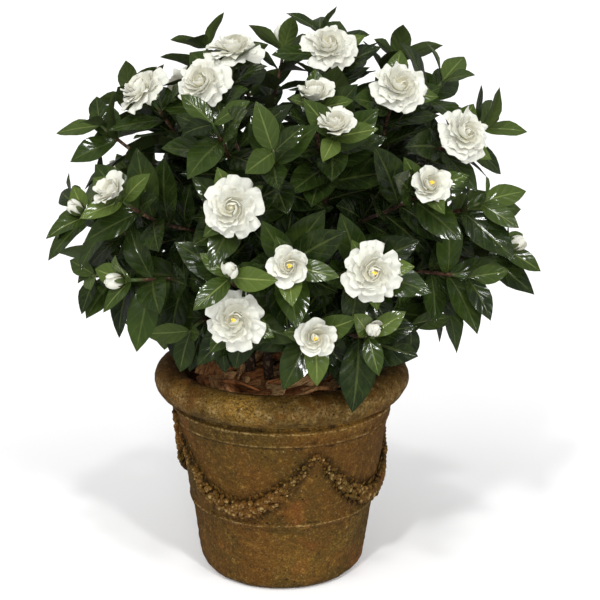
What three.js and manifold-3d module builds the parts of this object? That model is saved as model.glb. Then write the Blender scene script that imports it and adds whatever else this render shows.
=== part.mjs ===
import * as THREE from 'three';
import { mergeVertices } from 'three/addons/utils/BufferGeometryUtils.js';
import Module from 'manifold-3d';

const wasm = await Module();
wasm.setup();

// Potted gardenia shrub. Millimetres, +Z up, origin under the middle of the pot, the seen side towards -Y.

// Pot
const POT_SIDES = 30;
const BASE_RADIUS = 84;
const FOOT_RADIUS = 98.5;
const FOOT_HEIGHT = 20;
const LOW_BAND_BOTTOM = 84;
const LOW_BAND_TOP = 91;
const HIGH_BAND_BOTTOM = 191;
const HIGH_BAND_TOP = 211;
const BODY_SLOPE = 0.162;
const BAND_RELIEF = 2.4;
const RIM_RING_RADIUS = 131.5;
const RIM_ROLL = 18.5;
const RIM_HEIGHT = 236;
const FLOOR_THICKNESS = 18;
const INNER_FLOOR_RADIUS = 83;
const DRAIN_RADIUS = 9;
const DRAIN_OFFSET = 46;
const DRAIN_COUNT = 3;

// Garland relief on the pot
const SWAG_COUNT = 4;
const SWAG_PHASE = 18.7;
const SWAG_SPREAD = 0.47;
const SWAG_PEAK_HEIGHT = 175;
const SWAG_LOW_HEIGHT = 109;
const SWAG_BEADS = 6;
const SWAG_THIN = 4.5;
const SWAG_THICK = 12;
const DROP_BEADS = 3;
const DROP_RADIUS = 6;
const DROP_TOP = 203;
const DROP_LENGTH = 44;
const BEAD_NECK = 0.62;
const BEAD_RELIEF = 0.75;
const BEAD_SUNK = 0.7;
const BEAD_ROOT = 4;

// Filling
const GAP = 0.3;
const SOIL_TOP = 223;
const BED_THICKNESS = 7;
const BED_SIDES = 24;
const CHIP_COUNT = 20;
const LEANING_CHIP = [17, 42, 6];
const LEANING_CHIP_TURN = 27;
const MOUTH_RADIUS = RIM_RING_RADIUS - RIM_ROLL;

// Shrub
const BUSH_CENTRE = [12, 0, 425];
const BUSH_RADII = [255, 225, 215];
const CANE_COUNT = 8;
const CANE_SIDES = 5;
const CANE_CIRCLE = 38;
const CANE_FOOT = 165;
const CANE_BEND = [[58, 368], [118, 508]];
const CANE_BASE_RADIUS = 5.6;
const CANE_TOP_RADIUS = 2.9;
const TWIG_SIDES = 3;
const TWIG_BASE_RADIUS = 2.3;
const TWIG_TOP_RADIUS = 1.8;
const NODE_HALF = 2;
const NODE_SPACING = 29;
const CALYX_RADIUS = 4.4;
const CALYX_LENGTH = 7;
const SHOOT_POINT = 0.9;
const BUSH_DROP = 140;
const SHOOT_GRID = 150;
const SHOOT_SPACING = 69;
const LOWEST_SHOOT = -56;
const LEAF_THICKNESS = 1.6;
const YOUNG_LEAF = [42, 56];
const GROWN_LEAF = [58, 80];
const LEAF_STATIONS = [[0.36, 0.94], [0.71, 0.82]];
const LEAF_TRIES = 16;
const TWIG_LIFTS = [0, 0.07, -0.07, 0.14, -0.14, 0.21, -0.21, 0.28];
const SEED = 20461;

// Flowers: kind, middle, and the way it faces (degrees to the right of the front, degrees above level)
const FLOWERS = [
  ['open', [-154, -42, 583], -60, 50],
  ['open', [-83, -102, 599], -25, 35],
  ['open', [-50, -56, 630], 175, 62],
  ['open', [54, -54, 631], 5, 48],
  ['half', [38, -141, 591], 0, 62],
  ['half', [59, -170, 560], 8, 36],
  ['open', [129, -95, 593], 15, 34],
  ['open', [200, -91, 541], 32, 28],
  ['half', [-178, -135, 488], -48, 45],
  ['open', [-48, -209, 486], -8, 16],
  ['half', [156, -168, 500], 14, 30],
  ['half', [11, -225, 429], 0, 14],
  ['open', [96, -212, 418], 12, 10],
  ['open', [-46, -211, 367], -8, 14],
  ['half', [37, -209, 348], 5, 6],
  ['bud', [-227, -73, 455], -62, 40],
  ['bud', [-177, -147, 392], -66, 6],
  ['bud', [-50, -222, 425], 0, 42],
  ['bud', [99, -200, 353], 20, 32],
  ['bud', [268, -33, 405], 72, 24],
  ['open', [-118, 146, 562], -140, 36],
  ['open', [62, 176, 545], 162, 34],
  ['half', [176, 122, 505], 122, 30],
  ['open', [-66, 216, 428], -166, 14],
  ['open', [142, 182, 402], 142, 12],
  ['half', [-200, 118, 452], -118, 20],
  ['half', [22, 212, 350], 178, 8],
  ['bud', [-142, 176, 345], -140, 10],
  ['bud', [232, 88, 420], 110, 25],
  ['bud', [2, 108, 622], 178, 58],
];

// Petal rings of each flower kind, outermost first
const PETAL_RINGS = {
  open: [
    { count: 6, length: 36, half: 15, rise: 4, hub: 7, height: 6, core: 6, twist: 17 },
    { count: 4, length: 24, half: 11.5, rise: 40, hub: 5, height: 11, core: 8, twist: 16 },
  ],
  half: [
    { count: 5, length: 28, half: 10.5, rise: 34, hub: 6, height: 6, core: 6, twist: 18 },
    { count: 3, length: 18, half: 6.5, rise: 60, hub: 4.5, height: 10, core: 8, twist: 18 },
  ],
};
// From a flower's seat to its middle
const FLOWER_DEPTH = { open: 13, half: 12, bud: 11 };
// Buds: radius and height of each ring
const BUD_RINGS = [[3.4, 0], [9.4, 8], [8, 17]];
const BUD_LENGTH = 24;
const BUD_SIDES = 6;
const BUD_FOLD = 0.82;
const BUD_TWIST = 24;

const FINISHES = {
  pot: { color: 0x6a5030, roughness: 0.85, metalness: 0 },
  soil: { color: 0x2b1d14, roughness: 0.95, metalness: 0 },
  bark: { color: 0x7a4a34, roughness: 0.9, metalness: 0 },
  foliage: { color: 0x2a4a24, roughness: 0.35, metalness: 0 },
  petals: { color: 0xf6f3ea, roughness: 0.6, metalness: 0 },
};

const up = new THREE.Vector3(0, 0, 1);
const rad = THREE.MathUtils.degToRad;
const vector = (values) => new THREE.Vector3(...values);

/** A number from 0 to 1, always the same for the same keys. */
function draw(...keys) {
  let h = SEED;
  for (const key of keys) {
    h = Math.imul(h ^ key, 0x9e3779b1);
    h ^= h >>> 15;
  }
  h = Math.imul(h, 0x85ebca6b);
  h ^= h >>> 13;
  return (h >>> 0) / 4294967296;
}

/** A number from low to high for these keys. */
function between(low, high, ...keys) {
  return low + (high - low) * draw(...keys);
}

/** A closed solid from points and triangles. */
function solidOf(points, triangles) {
  const geometry = new THREE.BufferGeometry().setFromPoints(points);
  geometry.setIndex(triangles.flat());
  return solid(geometry);
}

/** A closed solid from any closed three.js geometry, faces outwards. */
function solid(geometry) {
  const bare = geometry.clone();
  bare.deleteAttribute('normal');
  bare.deleteAttribute('uv');
  const joined = mergeVertices(bare, 1e-4);
  const index = Array.from(joined.index.array);
  const kept = [];
  for (let i = 0; i < index.length; i += 3) {
    const [a, b, c] = index.slice(i, i + 3);
    if (a !== b && b !== c && c !== a) kept.push(a, b, c);
  }
  const place = joined.attributes.position;
  if (signedVolume(place, kept) < 0) kept.reverse();
  const vertProperties = new Float32Array(place.array);
  return new wasm.Manifold(new wasm.Mesh({ numProp: 3, vertProperties, triVerts: new Uint32Array(kept) }));
}

/** Six times the volume inside the triangles, negative when they face inwards. */
function signedVolume(place, index) {
  const [a, b, c] = [new THREE.Vector3(), new THREE.Vector3(), new THREE.Vector3()];
  let sum = 0;
  for (let i = 0; i < index.length; i += 3) {
    a.fromBufferAttribute(place, index[i]);
    b.fromBufferAttribute(place, index[i + 1]);
    c.fromBufferAttribute(place, index[i + 2]);
    sum += a.dot(b.cross(c));
  }
  return sum;
}

/** Joins solids into one. */
function fuse(solids) {
  return wasm.Manifold.union(solids);
}

/** A round body about Z from [radius, height] pairs. */
function turned(profile, sides) {
  const lathe = new THREE.LatheGeometry(profile.map(([r, z]) => new THREE.Vector2(r, z)), sides);
  lathe.rotateX(Math.PI / 2);
  return solid(lathe);
}

/** A tube along points with a radius at each, closed at both ends. */
function tube(points, radii, sides) {
  const rings = [];
  let side = null;
  points.forEach((point, i) => {
    const ahead = points[Math.min(i + 1, points.length - 1)];
    const behind = points[Math.max(i - 1, 0)];
    const along = ahead.clone().sub(behind).normalize();
    if (!side) side = Math.abs(along.x) < 0.99 ? new THREE.Vector3(1, 0, 0) : up.clone();
    side = side.clone().addScaledVector(along, -side.dot(along)).normalize();
    const other = along.clone().cross(side);
    for (let k = 0; k < sides; k += 1) {
      const turn = (2 * Math.PI * k) / sides;
      rings.push(point.clone()
        .addScaledVector(side, radii[i] * Math.cos(turn))
        .addScaledVector(other, radii[i] * Math.sin(turn)));
    }
  });
  return ringed(rings, points.length, sides);
}

/** A closed solid through rings of points, with flat ends. */
function ringed(points, ringCount, sides) {
  const triangles = [];
  for (let i = 0; i < ringCount - 1; i += 1) {
    for (let k = 0; k < sides; k += 1) {
      const a = i * sides + k;
      const b = i * sides + ((k + 1) % sides);
      triangles.push([a, b, b + sides], [a, b + sides, a + sides]);
    }
  }
  const last = (ringCount - 1) * sides;
  for (let k = 1; k < sides - 1; k += 1) {
    triangles.push([0, k + 1, k], [last, last + k, last + k + 1]);
  }
  return solidOf(points, triangles);
}

/** Radius of the pot's plain wall at a height. */
function wallRadius(z) {
  return FOOT_RADIUS + BODY_SLOPE * (z - FOOT_HEIGHT);
}

/** Points round the rolled rim, from one turn to another in degrees. */
function rimPoints(from, to, steps, roll) {
  const points = [];
  for (let i = 0; i <= steps; i += 1) {
    const turn = rad(from + ((to - from) * i) / steps);
    points.push([RIM_RING_RADIUS + roll * Math.cos(turn), RIM_HEIGHT + roll * Math.sin(turn)]);
  }
  return points;
}

/** A raised band with soft shoulders on the pot's wall. */
function bandPoints(bottom, top) {
  return [
    [wallRadius(bottom), bottom],
    [wallRadius(bottom) + BAND_RELIEF, bottom + 1.8],
    [wallRadius(top) + BAND_RELIEF, top - 1.8],
    [wallRadius(top), top],
  ];
}

/** The pot's turned body with its drain holes. */
function potBody() {
  const outside = [
    [0, 0],
    [BASE_RADIUS, 0],
    [BASE_RADIUS + 8, 3],
    [BASE_RADIUS + 12.5, 10],
    [FOOT_RADIUS, FOOT_HEIGHT],
    [wallRadius(LOW_BAND_BOTTOM), LOW_BAND_BOTTOM],
    [wallRadius(LOW_BAND_TOP) + BAND_RELIEF, (LOW_BAND_BOTTOM + LOW_BAND_TOP) / 2],
    [wallRadius(LOW_BAND_TOP), LOW_BAND_TOP],
    ...bandPoints(HIGH_BAND_BOTTOM, HIGH_BAND_TOP),
    ...rimPoints(-97, 180, 8, RIM_ROLL),
  ];
  const inside = [[MOUTH_RADIUS - 1, SOIL_TOP], [INNER_FLOOR_RADIUS, FLOOR_THICKNESS], [0, FLOOR_THICKNESS]];
  let pot = turned([...outside, ...inside], POT_SIDES);
  for (let i = 0; i < DRAIN_COUNT; i += 1) {
    const turn = (2 * Math.PI * i) / DRAIN_COUNT;
    const drain = new THREE.CylinderGeometry(DRAIN_RADIUS, DRAIN_RADIUS, 3 * FLOOR_THICKNESS, 8);
    drain.rotateX(Math.PI / 2);
    drain.translate(DRAIN_OFFSET * Math.cos(turn), DRAIN_OFFSET * Math.sin(turn), 0);
    pot = pot.subtract(solid(drain));
  }
  return pot;
}

/** Point on the pot's wall: degrees right of the front, height, and how far it stands out. */
function onWall(degrees, z, out) {
  const radius = wallRadius(z) + out;
  return new THREE.Vector3(radius * Math.sin(rad(degrees)), -radius * Math.cos(rad(degrees)), z);
}

/** A beaded strand on the wall through [degrees, height, thickness] stations, swelling at every other one. */
function strand(stations) {
  const points = [];
  stations.forEach(([degrees, z, thickness], i) => {
    const before = stations[Math.max(i - 1, 0)];
    const after = stations[Math.min(i + 1, stations.length - 1)];
    const along = onWall(after[0], after[1], 0).sub(onWall(before[0], before[1], 0)).normalize();
    const outward = onWall(degrees, z, 1).sub(onWall(degrees, z, 0)).addScaledVector(up, -BODY_SLOPE);
    const across = along.clone().cross(outward.normalize()).normalize();
    const reach = thickness * (i % 2 === 0 ? BEAD_NECK : 1);
    const middle = onWall(degrees, z, -BEAD_SUNK);
    points.push(
      middle.clone().addScaledVector(outward, BEAD_SUNK + reach * BEAD_RELIEF),
      middle.clone().addScaledVector(across, reach),
      middle.clone().addScaledVector(outward, -BEAD_ROOT),
      middle.clone().addScaledVector(across, -reach),
    );
  });
  return ringed(points, stations.length, 4);
}

/** One hanging garland between two peaks. */
function swag(index) {
  const span = 360 / SWAG_COUNT;
  const stations = [];
  for (let i = 0; i <= 2 * SWAG_BEADS; i += 1) {
    const reach = i / SWAG_BEADS - 1;
    const degrees = SWAG_PHASE + span * (index - 0.5 + SWAG_SPREAD * reach);
    const sag = 1 - reach * reach;
    const height = SWAG_PEAK_HEIGHT - (SWAG_PEAK_HEIGHT - SWAG_LOW_HEIGHT) * sag;
    stations.push([degrees, height, SWAG_THIN + (SWAG_THICK - SWAG_THIN) * sag]);
  }
  return strand(stations);
}

/** The short string of beads hanging under the rim at a side peak. */
function drop(degrees) {
  const stations = [];
  for (let i = 0; i <= 2 * DROP_BEADS; i += 1) {
    const down = i / (2 * DROP_BEADS);
    stations.push([degrees, DROP_TOP - DROP_LENGTH * down, DROP_RADIUS * (1 + 0.4 * down)]);
  }
  return strand(stations);
}

/** The pot with its garlands in relief. */
function makePot() {
  const parts = [potBody()];
  for (let i = 0; i < SWAG_COUNT; i += 1) parts.push(swag(i));
  parts.push(drop(SWAG_PHASE - 90), drop(SWAG_PHASE + 90));
  return fuse(parts);
}

/** Middle line of a cane above the soil. */
function caneCurve(cane) {
  const turn = (2 * Math.PI * (cane + 0.5)) / CANE_COUNT;
  const ring = (radius, z, shift) => new THREE.Vector3(
    radius * Math.sin(turn) + shift, -radius * Math.cos(turn), z);
  const [middle, top] = CANE_BEND;
  return new THREE.QuadraticBezierCurve3(
    ring(CANE_CIRCLE, RIM_HEIGHT, 0), ring(...middle, BUSH_CENTRE[0] / 3), ring(...top, BUSH_CENTRE[0]));
}

/** A cane's points and radii from its foot to its end. */
function canePath(cane, extra) {
  const curve = caneCurve(cane);
  const start = curve.getPoint(0);
  const points = [start.clone().setZ(CANE_FOOT - extra), start.clone().setZ(SOIL_TOP)];
  const radii = [CANE_BASE_RADIUS + extra, CANE_BASE_RADIUS + extra];
  for (let i = 1; i <= 5; i += 1) {
    points.push(curve.getPoint(i / 5));
    radii.push(CANE_BASE_RADIUS + ((CANE_TOP_RADIUS - CANE_BASE_RADIUS) * i) / 5);
  }
  return { points, radii };
}

/** The straight hole that a cane stands in, with its clearance. */
function caneHole(cane, clearance) {
  const { points } = canePath(cane, clearance);
  const top = points[1].clone().setZ(SOIL_TOP + 60);
  const radius = CANE_BASE_RADIUS + clearance;
  return tube([points[0], top], [radius, radius], CANE_SIDES);
}

/** The soil, a plain filling with holes for the canes. */
function makeSoil() {
  const slope = (MOUTH_RADIUS - 1 - INNER_FLOOR_RADIUS) / (SOIL_TOP - FLOOR_THICKNESS);
  const bottom = FLOOR_THICKNESS + GAP;
  let soil = turned([
    [0, bottom], [INNER_FLOOR_RADIUS - GAP, bottom],
    [INNER_FLOOR_RADIUS - 1.2 * GAP + slope * (SOIL_TOP - bottom), SOIL_TOP], [0, SOIL_TOP],
  ], POT_SIDES);
  for (let i = 0; i < CANE_COUNT; i += 1) soil = soil.subtract(caneHole(i, GAP));
  return soil;
}

/** One flat, uneven chip of bark. */
function chip(index) {
  const outer = index % 3 !== 0;
  const turn = (2 * Math.PI * (index + draw(index, 1) * 0.6)) / CHIP_COUNT * (outer ? 1 : 1.9);
  const radius = outer ? between(88, 96, index, 2) : between(64, 70, index, 2);
  const [long, wide, thick] = [between(28, 46, index, 3), between(13, 21, index, 4), between(5, 8, index, 5)];
  const box = new THREE.BoxGeometry(long, wide, thick);
  box.deleteAttribute('normal');
  box.deleteAttribute('uv');
  const lump = mergeVertices(box, 1e-4);
  const place = lump.attributes.position;
  for (let i = 0; i < place.count; i += 1) {
    place.setX(i, place.getX(i) * between(0.72, 1.1, index, 6, i));
    place.setY(i, place.getY(i) * between(0.6, 1.15, index, 7, i));
    place.setZ(i, place.getZ(i) * between(0.6, 1.2, index, 8, i));
  }
  lump.rotateX(between(-0.4, 0.4, index, 9));
  lump.rotateY(between(-0.3, 0.3, index, 10));
  lump.rotateZ(turn + between(-0.4, 0.4, index, 11));
  lump.translate(radius * Math.sin(turn), -radius * Math.cos(turn), SOIL_TOP + between(7.5, 12, index, 12));
  return solid(lump);
}

/** The chip that leans up onto the rim's inner shoulder, right of the front. */
function leaningChip() {
  const lump = new THREE.BoxGeometry(...LEANING_CHIP);
  lump.rotateX(-rad(24));
  lump.translate(0, 8 - MOUTH_RADIUS, SOIL_TOP + 18);
  lump.rotateZ(rad(LEANING_CHIP_TURN));
  return solid(lump);
}

/** The bark chips on their thin bed, kept off the pot's rim and the canes. */
function makeMulch() {
  const bottom = SOIL_TOP + GAP;
  const [radius, top] = [MOUTH_RADIUS - 2, bottom + BED_THICKNESS];
  let bed = turned([[0, bottom], [radius, bottom], [radius, top], [0, top]], BED_SIDES);
  for (let i = 0; i < CANE_COUNT; i += 1) bed = bed.subtract(caneHole(i, 2.6));
  const parts = [bed, leaningChip()];
  for (let i = 0; i < CHIP_COUNT; i += 1) parts.push(chip(i));
  const clearance = RIM_ROLL + 2 * GAP;
  const [, ...shoulder] = rimPoints(180, 90, 4, clearance);
  const ceiling = RIM_HEIGHT + 60;
  const room = turned([
    [0, bottom], [MOUTH_RADIUS - 4 * GAP, bottom], ...shoulder, [RIM_RING_RADIUS, ceiling], [0, ceiling],
  ], POT_SIDES);
  return fuse(parts).intersect(room);
}

/** The way that an azimuth right of the front and an elevation point to. */
function heading(azimuth, elevation) {
  const [a, e] = [rad(azimuth), rad(elevation)];
  return new THREE.Vector3(Math.sin(a) * Math.cos(e), -Math.cos(a) * Math.cos(e), Math.sin(e));
}

/** Every tip of the shrub: the flowers, then leafy shoots evenly in the room between them. */
function allTips() {
  const tips = FLOWERS.map(([kind, middle, azimuth, elevation]) => {
    const axis = heading(azimuth, elevation);
    return { kind, axis, end: vector(middle).addScaledVector(axis, -FLOWER_DEPTH[kind]) };
  });
  for (let i = 0; i < SHOOT_GRID; i += 1) {
    const height = 1 - (2 * (i + 0.5)) / SHOOT_GRID;
    const turn = Math.PI * (3 - Math.sqrt(5)) * i;
    const ring = Math.sqrt(1 - height * height);
    const out = new THREE.Vector3(ring * Math.sin(turn), -ring * Math.cos(turn), height);
    const reach = vector(BUSH_RADII).setZ(height > 0 ? BUSH_RADII[2] : BUSH_DROP);
    const end = vector(BUSH_CENTRE).add(out.clone().multiply(reach));
    const clear = tips.every((tip) => tip.end.distanceTo(end) > SHOOT_SPACING);
    if (height > Math.sin(rad(LOWEST_SHOOT)) && clear) {
      tips.push({ kind: 'shoot', axis: out.clone().addScaledVector(up, 0.25).normalize(), end });
    }
  }
  for (const tip of tips) tip.cane = caneOf(tip);
  return tips;
}

/** The cane on whose side of the shrub a tip is. */
function caneOf(tip) {
  const turn = Math.atan2(tip.end.x - BUSH_CENTRE[0], -tip.end.y) / (2 * Math.PI);
  return Math.floor((turn + 1) * CANE_COUNT) % CANE_COUNT;
}

/** Middle line of the twig from its cane to a tip. */
function twigCurve(tip) {
  const share = THREE.MathUtils.clamp(0.3 + (0.66 * (tip.end.z - 300)) / 320 + tip.lift, 0.24, 0.97);
  const start = caneCurve(tip.cane).getPoint(share);
  const reach = 0.42 * start.distanceTo(tip.end);
  return new THREE.QuadraticBezierCurve3(start, tip.end.clone().addScaledVector(tip.axis, -reach), tip.end);
}

/** The leaf nodes of a twig from its tip inwards: how far back they are, and whether their leaves are young. */
function leafNodes(tip) {
  const first = tip.kind === 'shoot' ? 5 : 11;
  const nodes = [{ back: first, young: true }, { back: first + NODE_SPACING, young: false }];
  return nodes.filter(({ back }) => back < tip.span - 22);
}

/** The rings of a twig's jointed line from its cane to its tip: place, directions, radius. */
function twigRings(tip) {
  const curve = twigCurve(tip);
  const nodes = leafNodes(tip);
  const innermost = nodes[nodes.length - 1].back + NODE_HALF;
  const backs = [tip.span, (tip.span + innermost) / 2];
  for (const { back } of nodes.toReversed()) backs.push(back + NODE_HALF, back - NODE_HALF);
  if (tip.kind !== 'shoot') backs.push(CALYX_LENGTH);
  backs.push(0);
  const places = backs.map((back) => curve.getPoint(1 - back / tip.span));
  let side = new THREE.Vector3(0.3, 0.2, 1);
  return places.map((place, i) => {
    const ahead = places[Math.min(i + 1, places.length - 1)];
    const along = ahead.clone().sub(places[Math.max(i - 1, 0)]).normalize();
    side = side.clone().addScaledVector(along, -side.dot(along)).normalize();
    const youth = 1 - backs[i] / tip.span;
    const radius = TWIG_BASE_RADIUS + (TWIG_TOP_RADIUS - TWIG_BASE_RADIUS) * youth;
    return { place, along, side, other: along.clone().cross(side), radius };
  });
}

/** Where one try at a leaf starts, how it points, and its size. */
function leafFrame(tip, tipIndex, nodeIndex, slot, attempt) {
  const { young } = tip.nodes[nodeIndex];
  const ring = 2 + 2 * (tip.nodes.length - 1 - nodeIndex);
  const [low, high] = [tip.rings[ring], tip.rings[ring + 1]];
  const root = low.place.clone().lerp(high.place, 0.5);
  const along = high.place.clone().sub(low.place).normalize();
  const keys = [tipIndex, nodeIndex, slot, attempt];
  const face = (slot + nodeIndex) % TWIG_SIDES;
  const middle = (2 * Math.PI * (face + 0.5)) / TWIG_SIDES;
  const turn = middle + between(-0.5, 0.5, ...keys, 1);
  const spread = rad(young ? 56 : 64) + between(-0.35, 0.35, ...keys, 2);
  const outward = root.clone().sub(vector(BUSH_CENTRE)).normalize();
  const ray = (angle) => low.side.clone().multiplyScalar(Math.cos(angle))
    .addScaledVector(low.other, Math.sin(angle));
  const direction = ray(turn).multiplyScalar(Math.sin(spread)).addScaledVector(along, Math.cos(spread))
    .addScaledVector(outward, 0.25).normalize();
  const upper = along.clone().multiplyScalar(0.7).addScaledVector(up, 0.5).addScaledVector(outward, 0.45);
  upper.addScaledVector(direction, -upper.dot(direction)).normalize();
  const [shortest, longest] = young ? YOUNG_LEAF : GROWN_LEAF;
  const length = between(shortest, longest, ...keys, 3) * (1 - 0.015 * attempt);
  return {
    root, direction, upper, length, ring, face,
    sound: direction.dot(ray(middle)) > 0.3 && upper.dot(along) > 0.15,
    across: direction.clone().cross(upper),
    width: length * between(0.43, 0.49, ...keys, 4),
    arch: between(0.08, 0.3, ...keys, 5),
    bend: between(-0.1, 0.1, ...keys, 6),
    fold: between(0.12, 0.34, ...keys, 7),
  };
}

/** A point of a leaf: share of its length, distance to the right of its midrib, distance above its middle. */
function onLeaf(leaf, share, right, above) {
  const square = leaf.length * share * share;
  return leaf.root.clone()
    .addScaledVector(leaf.direction, leaf.length * share)
    .addScaledVector(leaf.upper, above + leaf.fold * Math.abs(right) - leaf.arch * square)
    .addScaledVector(leaf.across, right + leaf.bend * square);
}

/** A folded, arched blade's points: right edge, top, left edge and underside at each station, then the tip. */
function bladePoints(leaf, extra) {
  const half = LEAF_THICKNESS / 2 + extra;
  const points = [];
  for (const [share, part] of LEAF_STATIONS) {
    const reach = (leaf.width / 2) * part + extra;
    points.push(onLeaf(leaf, share, reach, 0), onLeaf(leaf, share, 0, half));
    points.push(onLeaf(leaf, share, -reach, 0), onLeaf(leaf, share, 0, -half));
  }
  points.push(onLeaf(leaf, 1 + extra / leaf.length, 0, 0));
  return points;
}

/** The triangles of a blade whose first point has this number, split alike on both faces. */
function bladeTriangles(first) {
  const triangles = [];
  const last = LEAF_STATIONS.length - 1;
  for (let k = 0; k < 4; k += 1) {
    const next = (k + 1) % 4;
    for (let i = 0; i < last; i += 1) {
      const [a, n] = [first + 4 * i + k, first + 4 * i + next];
      if (k % 2 === 0) triangles.push([n, a, n + 4], [a, a + 4, n + 4]);
      else triangles.push([n, a, a + 4], [n, a + 4, n + 4]);
    }
    triangles.push([first + 4 * last + next, first + 4 * last + k, first + 4 * last + 4]);
  }
  return triangles;
}

/** The triangles from a twig's four face corners to a blade's first four points. */
function baseTriangles(corners, first) {
  const triangles = [];
  corners.forEach((corner, c) => {
    const next = (c + 1) % 4;
    triangles.push([corners[next], corner, first + c], [corners[next], first + c, first + next]);
  });
  return triangles;
}

/** The points of a twig's ring. */
function ringPoints(ring, reach) {
  return Array.from({ length: TWIG_SIDES }, (_, k) => {
    const turn = (2 * Math.PI * k) / TWIG_SIDES;
    return ring.place.clone().addScaledVector(ring.side, reach * Math.cos(turn))
      .addScaledVector(ring.other, reach * Math.sin(turn));
  });
}

/** A leaf's room: the whole leaf a little thicker and wider, from just off its twig's face. */
function leafRoom(tip, leaf) {
  const [low, high] = [leaf.ring, leaf.ring + 1].map((i) => ringPoints(tip.rings[i], tip.rings[i].radius));
  const next = (leaf.face + 1) % TWIG_SIDES;
  const corners = [low[leaf.face], high[leaf.face], high[next], low[next]];
  const middle = corners.reduce((sum, corner) => sum.add(corner), new THREE.Vector3()).divideScalar(4);
  const outward = middle.clone().sub(leaf.root).normalize();
  const base = corners.map((corner) => corner.clone().lerp(middle, -0.1).addScaledVector(outward, 4 * GAP));
  return solidOf([...base, ...bladePoints(leaf, GAP)], [
    [0, 1, 2], [0, 2, 3], ...baseTriangles([0, 1, 2, 3], 4), ...bladeTriangles(4),
  ]);
}

/** A twig grown together with its leaves, ending in a calyx or a point; extra makes it that much thicker. */
function twigSolid(tip, leaves, extra = 0) {
  const points = [];
  tip.rings.forEach((ring, i) => {
    const isEnd = i === tip.rings.length - 1;
    const end = tip.kind === 'shoot' ? SHOOT_POINT : CALYX_RADIUS;
    points.push(...ringPoints(ring, extra + (isEnd ? end : ring.radius)));
  });
  const triangles = [];
  for (let i = 0; i < tip.rings.length - 1; i += 1) {
    for (let k = 0; k < TWIG_SIDES; k += 1) {
      const a = i * TWIG_SIDES + k;
      const b = i * TWIG_SIDES + ((k + 1) % TWIG_SIDES);
      const leaf = leaves.find(({ ring, face }) => ring === i && face === k);
      if (leaf) {
        const corners = [a, a + TWIG_SIDES, b + TWIG_SIDES, b];
        const first = points.length;
        points.push(...bladePoints(leaf, 0));
        triangles.push(...baseTriangles(corners, first), ...bladeTriangles(first));
      } else {
        triangles.push([a, b, b + TWIG_SIDES], [a, b + TWIG_SIDES, a + TWIG_SIDES]);
      }
    }
  }
  const last = (tip.rings.length - 1) * TWIG_SIDES;
  triangles.push([0, 2, 1], [last, last + 1, last + 2]);
  return solidOf(points, triangles);
}

/** Whether a solid runs into any of the others. */
function hits(body, box, others) {
  return others.some((other) => (
    box.intersectsBox(other.box) && body.intersect(other.body).volume() > 0));
}

/** A solid with its bounding box. */
function boxed(body) {
  const { min, max } = body.boundingBox();
  return { body, box: new THREE.Box3(vector(Array.from(min)), vector(Array.from(max))) };
}

/** The leaves of one twig that find room, each turned a little until it is clear. */
function twigLeaves(tip, tipIndex, taken) {
  const leaves = [];
  tip.nodes.forEach((node, nodeIndex) => {
    for (let slot = 0; slot < TWIG_SIDES; slot += 1) {
      for (let attempt = 0; attempt < LEAF_TRIES; attempt += 1) {
        const leaf = leafFrame(tip, tipIndex, nodeIndex, slot, attempt);
        if (!leaf.sound) continue;
        const { body, box } = boxed(leafRoom(tip, leaf));
        if (!hits(body, box, taken)) {
          leaves.push(leaf);
          taken.push({ body, box });
          break;
        }
      }
    }
  });
  return leaves;
}

/** A ring of cupped petals that overlap like blades of a fan, joined in a small hub. */
function petalRing(frame, ring, flowerIndex) {
  const { count, length, half, rise, hub, height, core, twist } = ring;
  const points = [
    frame.base.clone().addScaledVector(frame.axis, height + core),
    frame.base.clone().addScaledVector(frame.axis, height - core),
  ];
  const triangles = [];
  const spokes = 8;
  const ringTurn = 2 * Math.PI * draw(flowerIndex, count);
  for (let k = 0; k < count; k += 1) {
    const keys = [flowerIndex, count, k];
    const turn = (2 * Math.PI * (k + between(-0.06, 0.06, ...keys, 1))) / count + ringTurn;
    const seam = (2 * Math.PI * (k + 0.5)) / count + ringTurn;
    const lift = rad(rise + between(-5, 5, ...keys, 2));
    const long = length * between(0.93, 1.05, ...keys, 3);
    const wide = half * between(0.92, 1.08, ...keys, 4);
    const ray = (angle) => frame.side.clone().multiplyScalar(Math.cos(angle))
      .addScaledVector(frame.other, Math.sin(angle));
    const out = ray(turn);
    const spine = out.clone().multiplyScalar(Math.cos(lift)).addScaledVector(frame.axis, Math.sin(lift));
    const inner = frame.axis.clone().multiplyScalar(Math.cos(lift)).addScaledVector(out, -Math.sin(lift));
    const level = inner.clone().cross(spine);
    const [flat, steep] = [Math.cos(rad(twist)), Math.sin(rad(twist))];
    const across = level.clone().multiplyScalar(flat).addScaledVector(inner, steep);
    const over = inner.clone().multiplyScalar(flat).addScaledVector(level, -steep);
    const root = frame.base.clone().addScaledVector(frame.axis, height);
    const at = (u, v, w) => root.clone()
      .addScaledVector(spine, u * long).addScaledVector(across, v * wide).addScaledVector(over, w);
    points.push(
      at(0.55, -1, 3), at(0.9, -0.66, 1.7), at(1, between(-0.12, 0.12, ...keys, 5), -0.6), at(0.9, 0.68, 1.8),
      at(0.56, 1, 3.2), at(0.56, 0, 0.8), at(0.56, 0, -0.9), root.clone().addScaledVector(ray(seam), hub),
    );
    const first = 2 + spokes * k;
    const before = 2 + spokes * ((k + count - 1) % count) + 7;
    const outline = [before, first, first + 1, first + 2, first + 3, first + 4, first + 7];
    for (let i = 0; i < 6; i += 1) {
      triangles.push([outline[i], outline[i + 1], first + 5], [outline[i + 1], outline[i], first + 6]);
    }
    triangles.push([outline[6], 0, first + 5], [0, before, first + 5]);
    triangles.push([1, outline[6], first + 6], [before, 1, first + 6]);
  }
  return solidOf(points, triangles);
}

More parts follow.
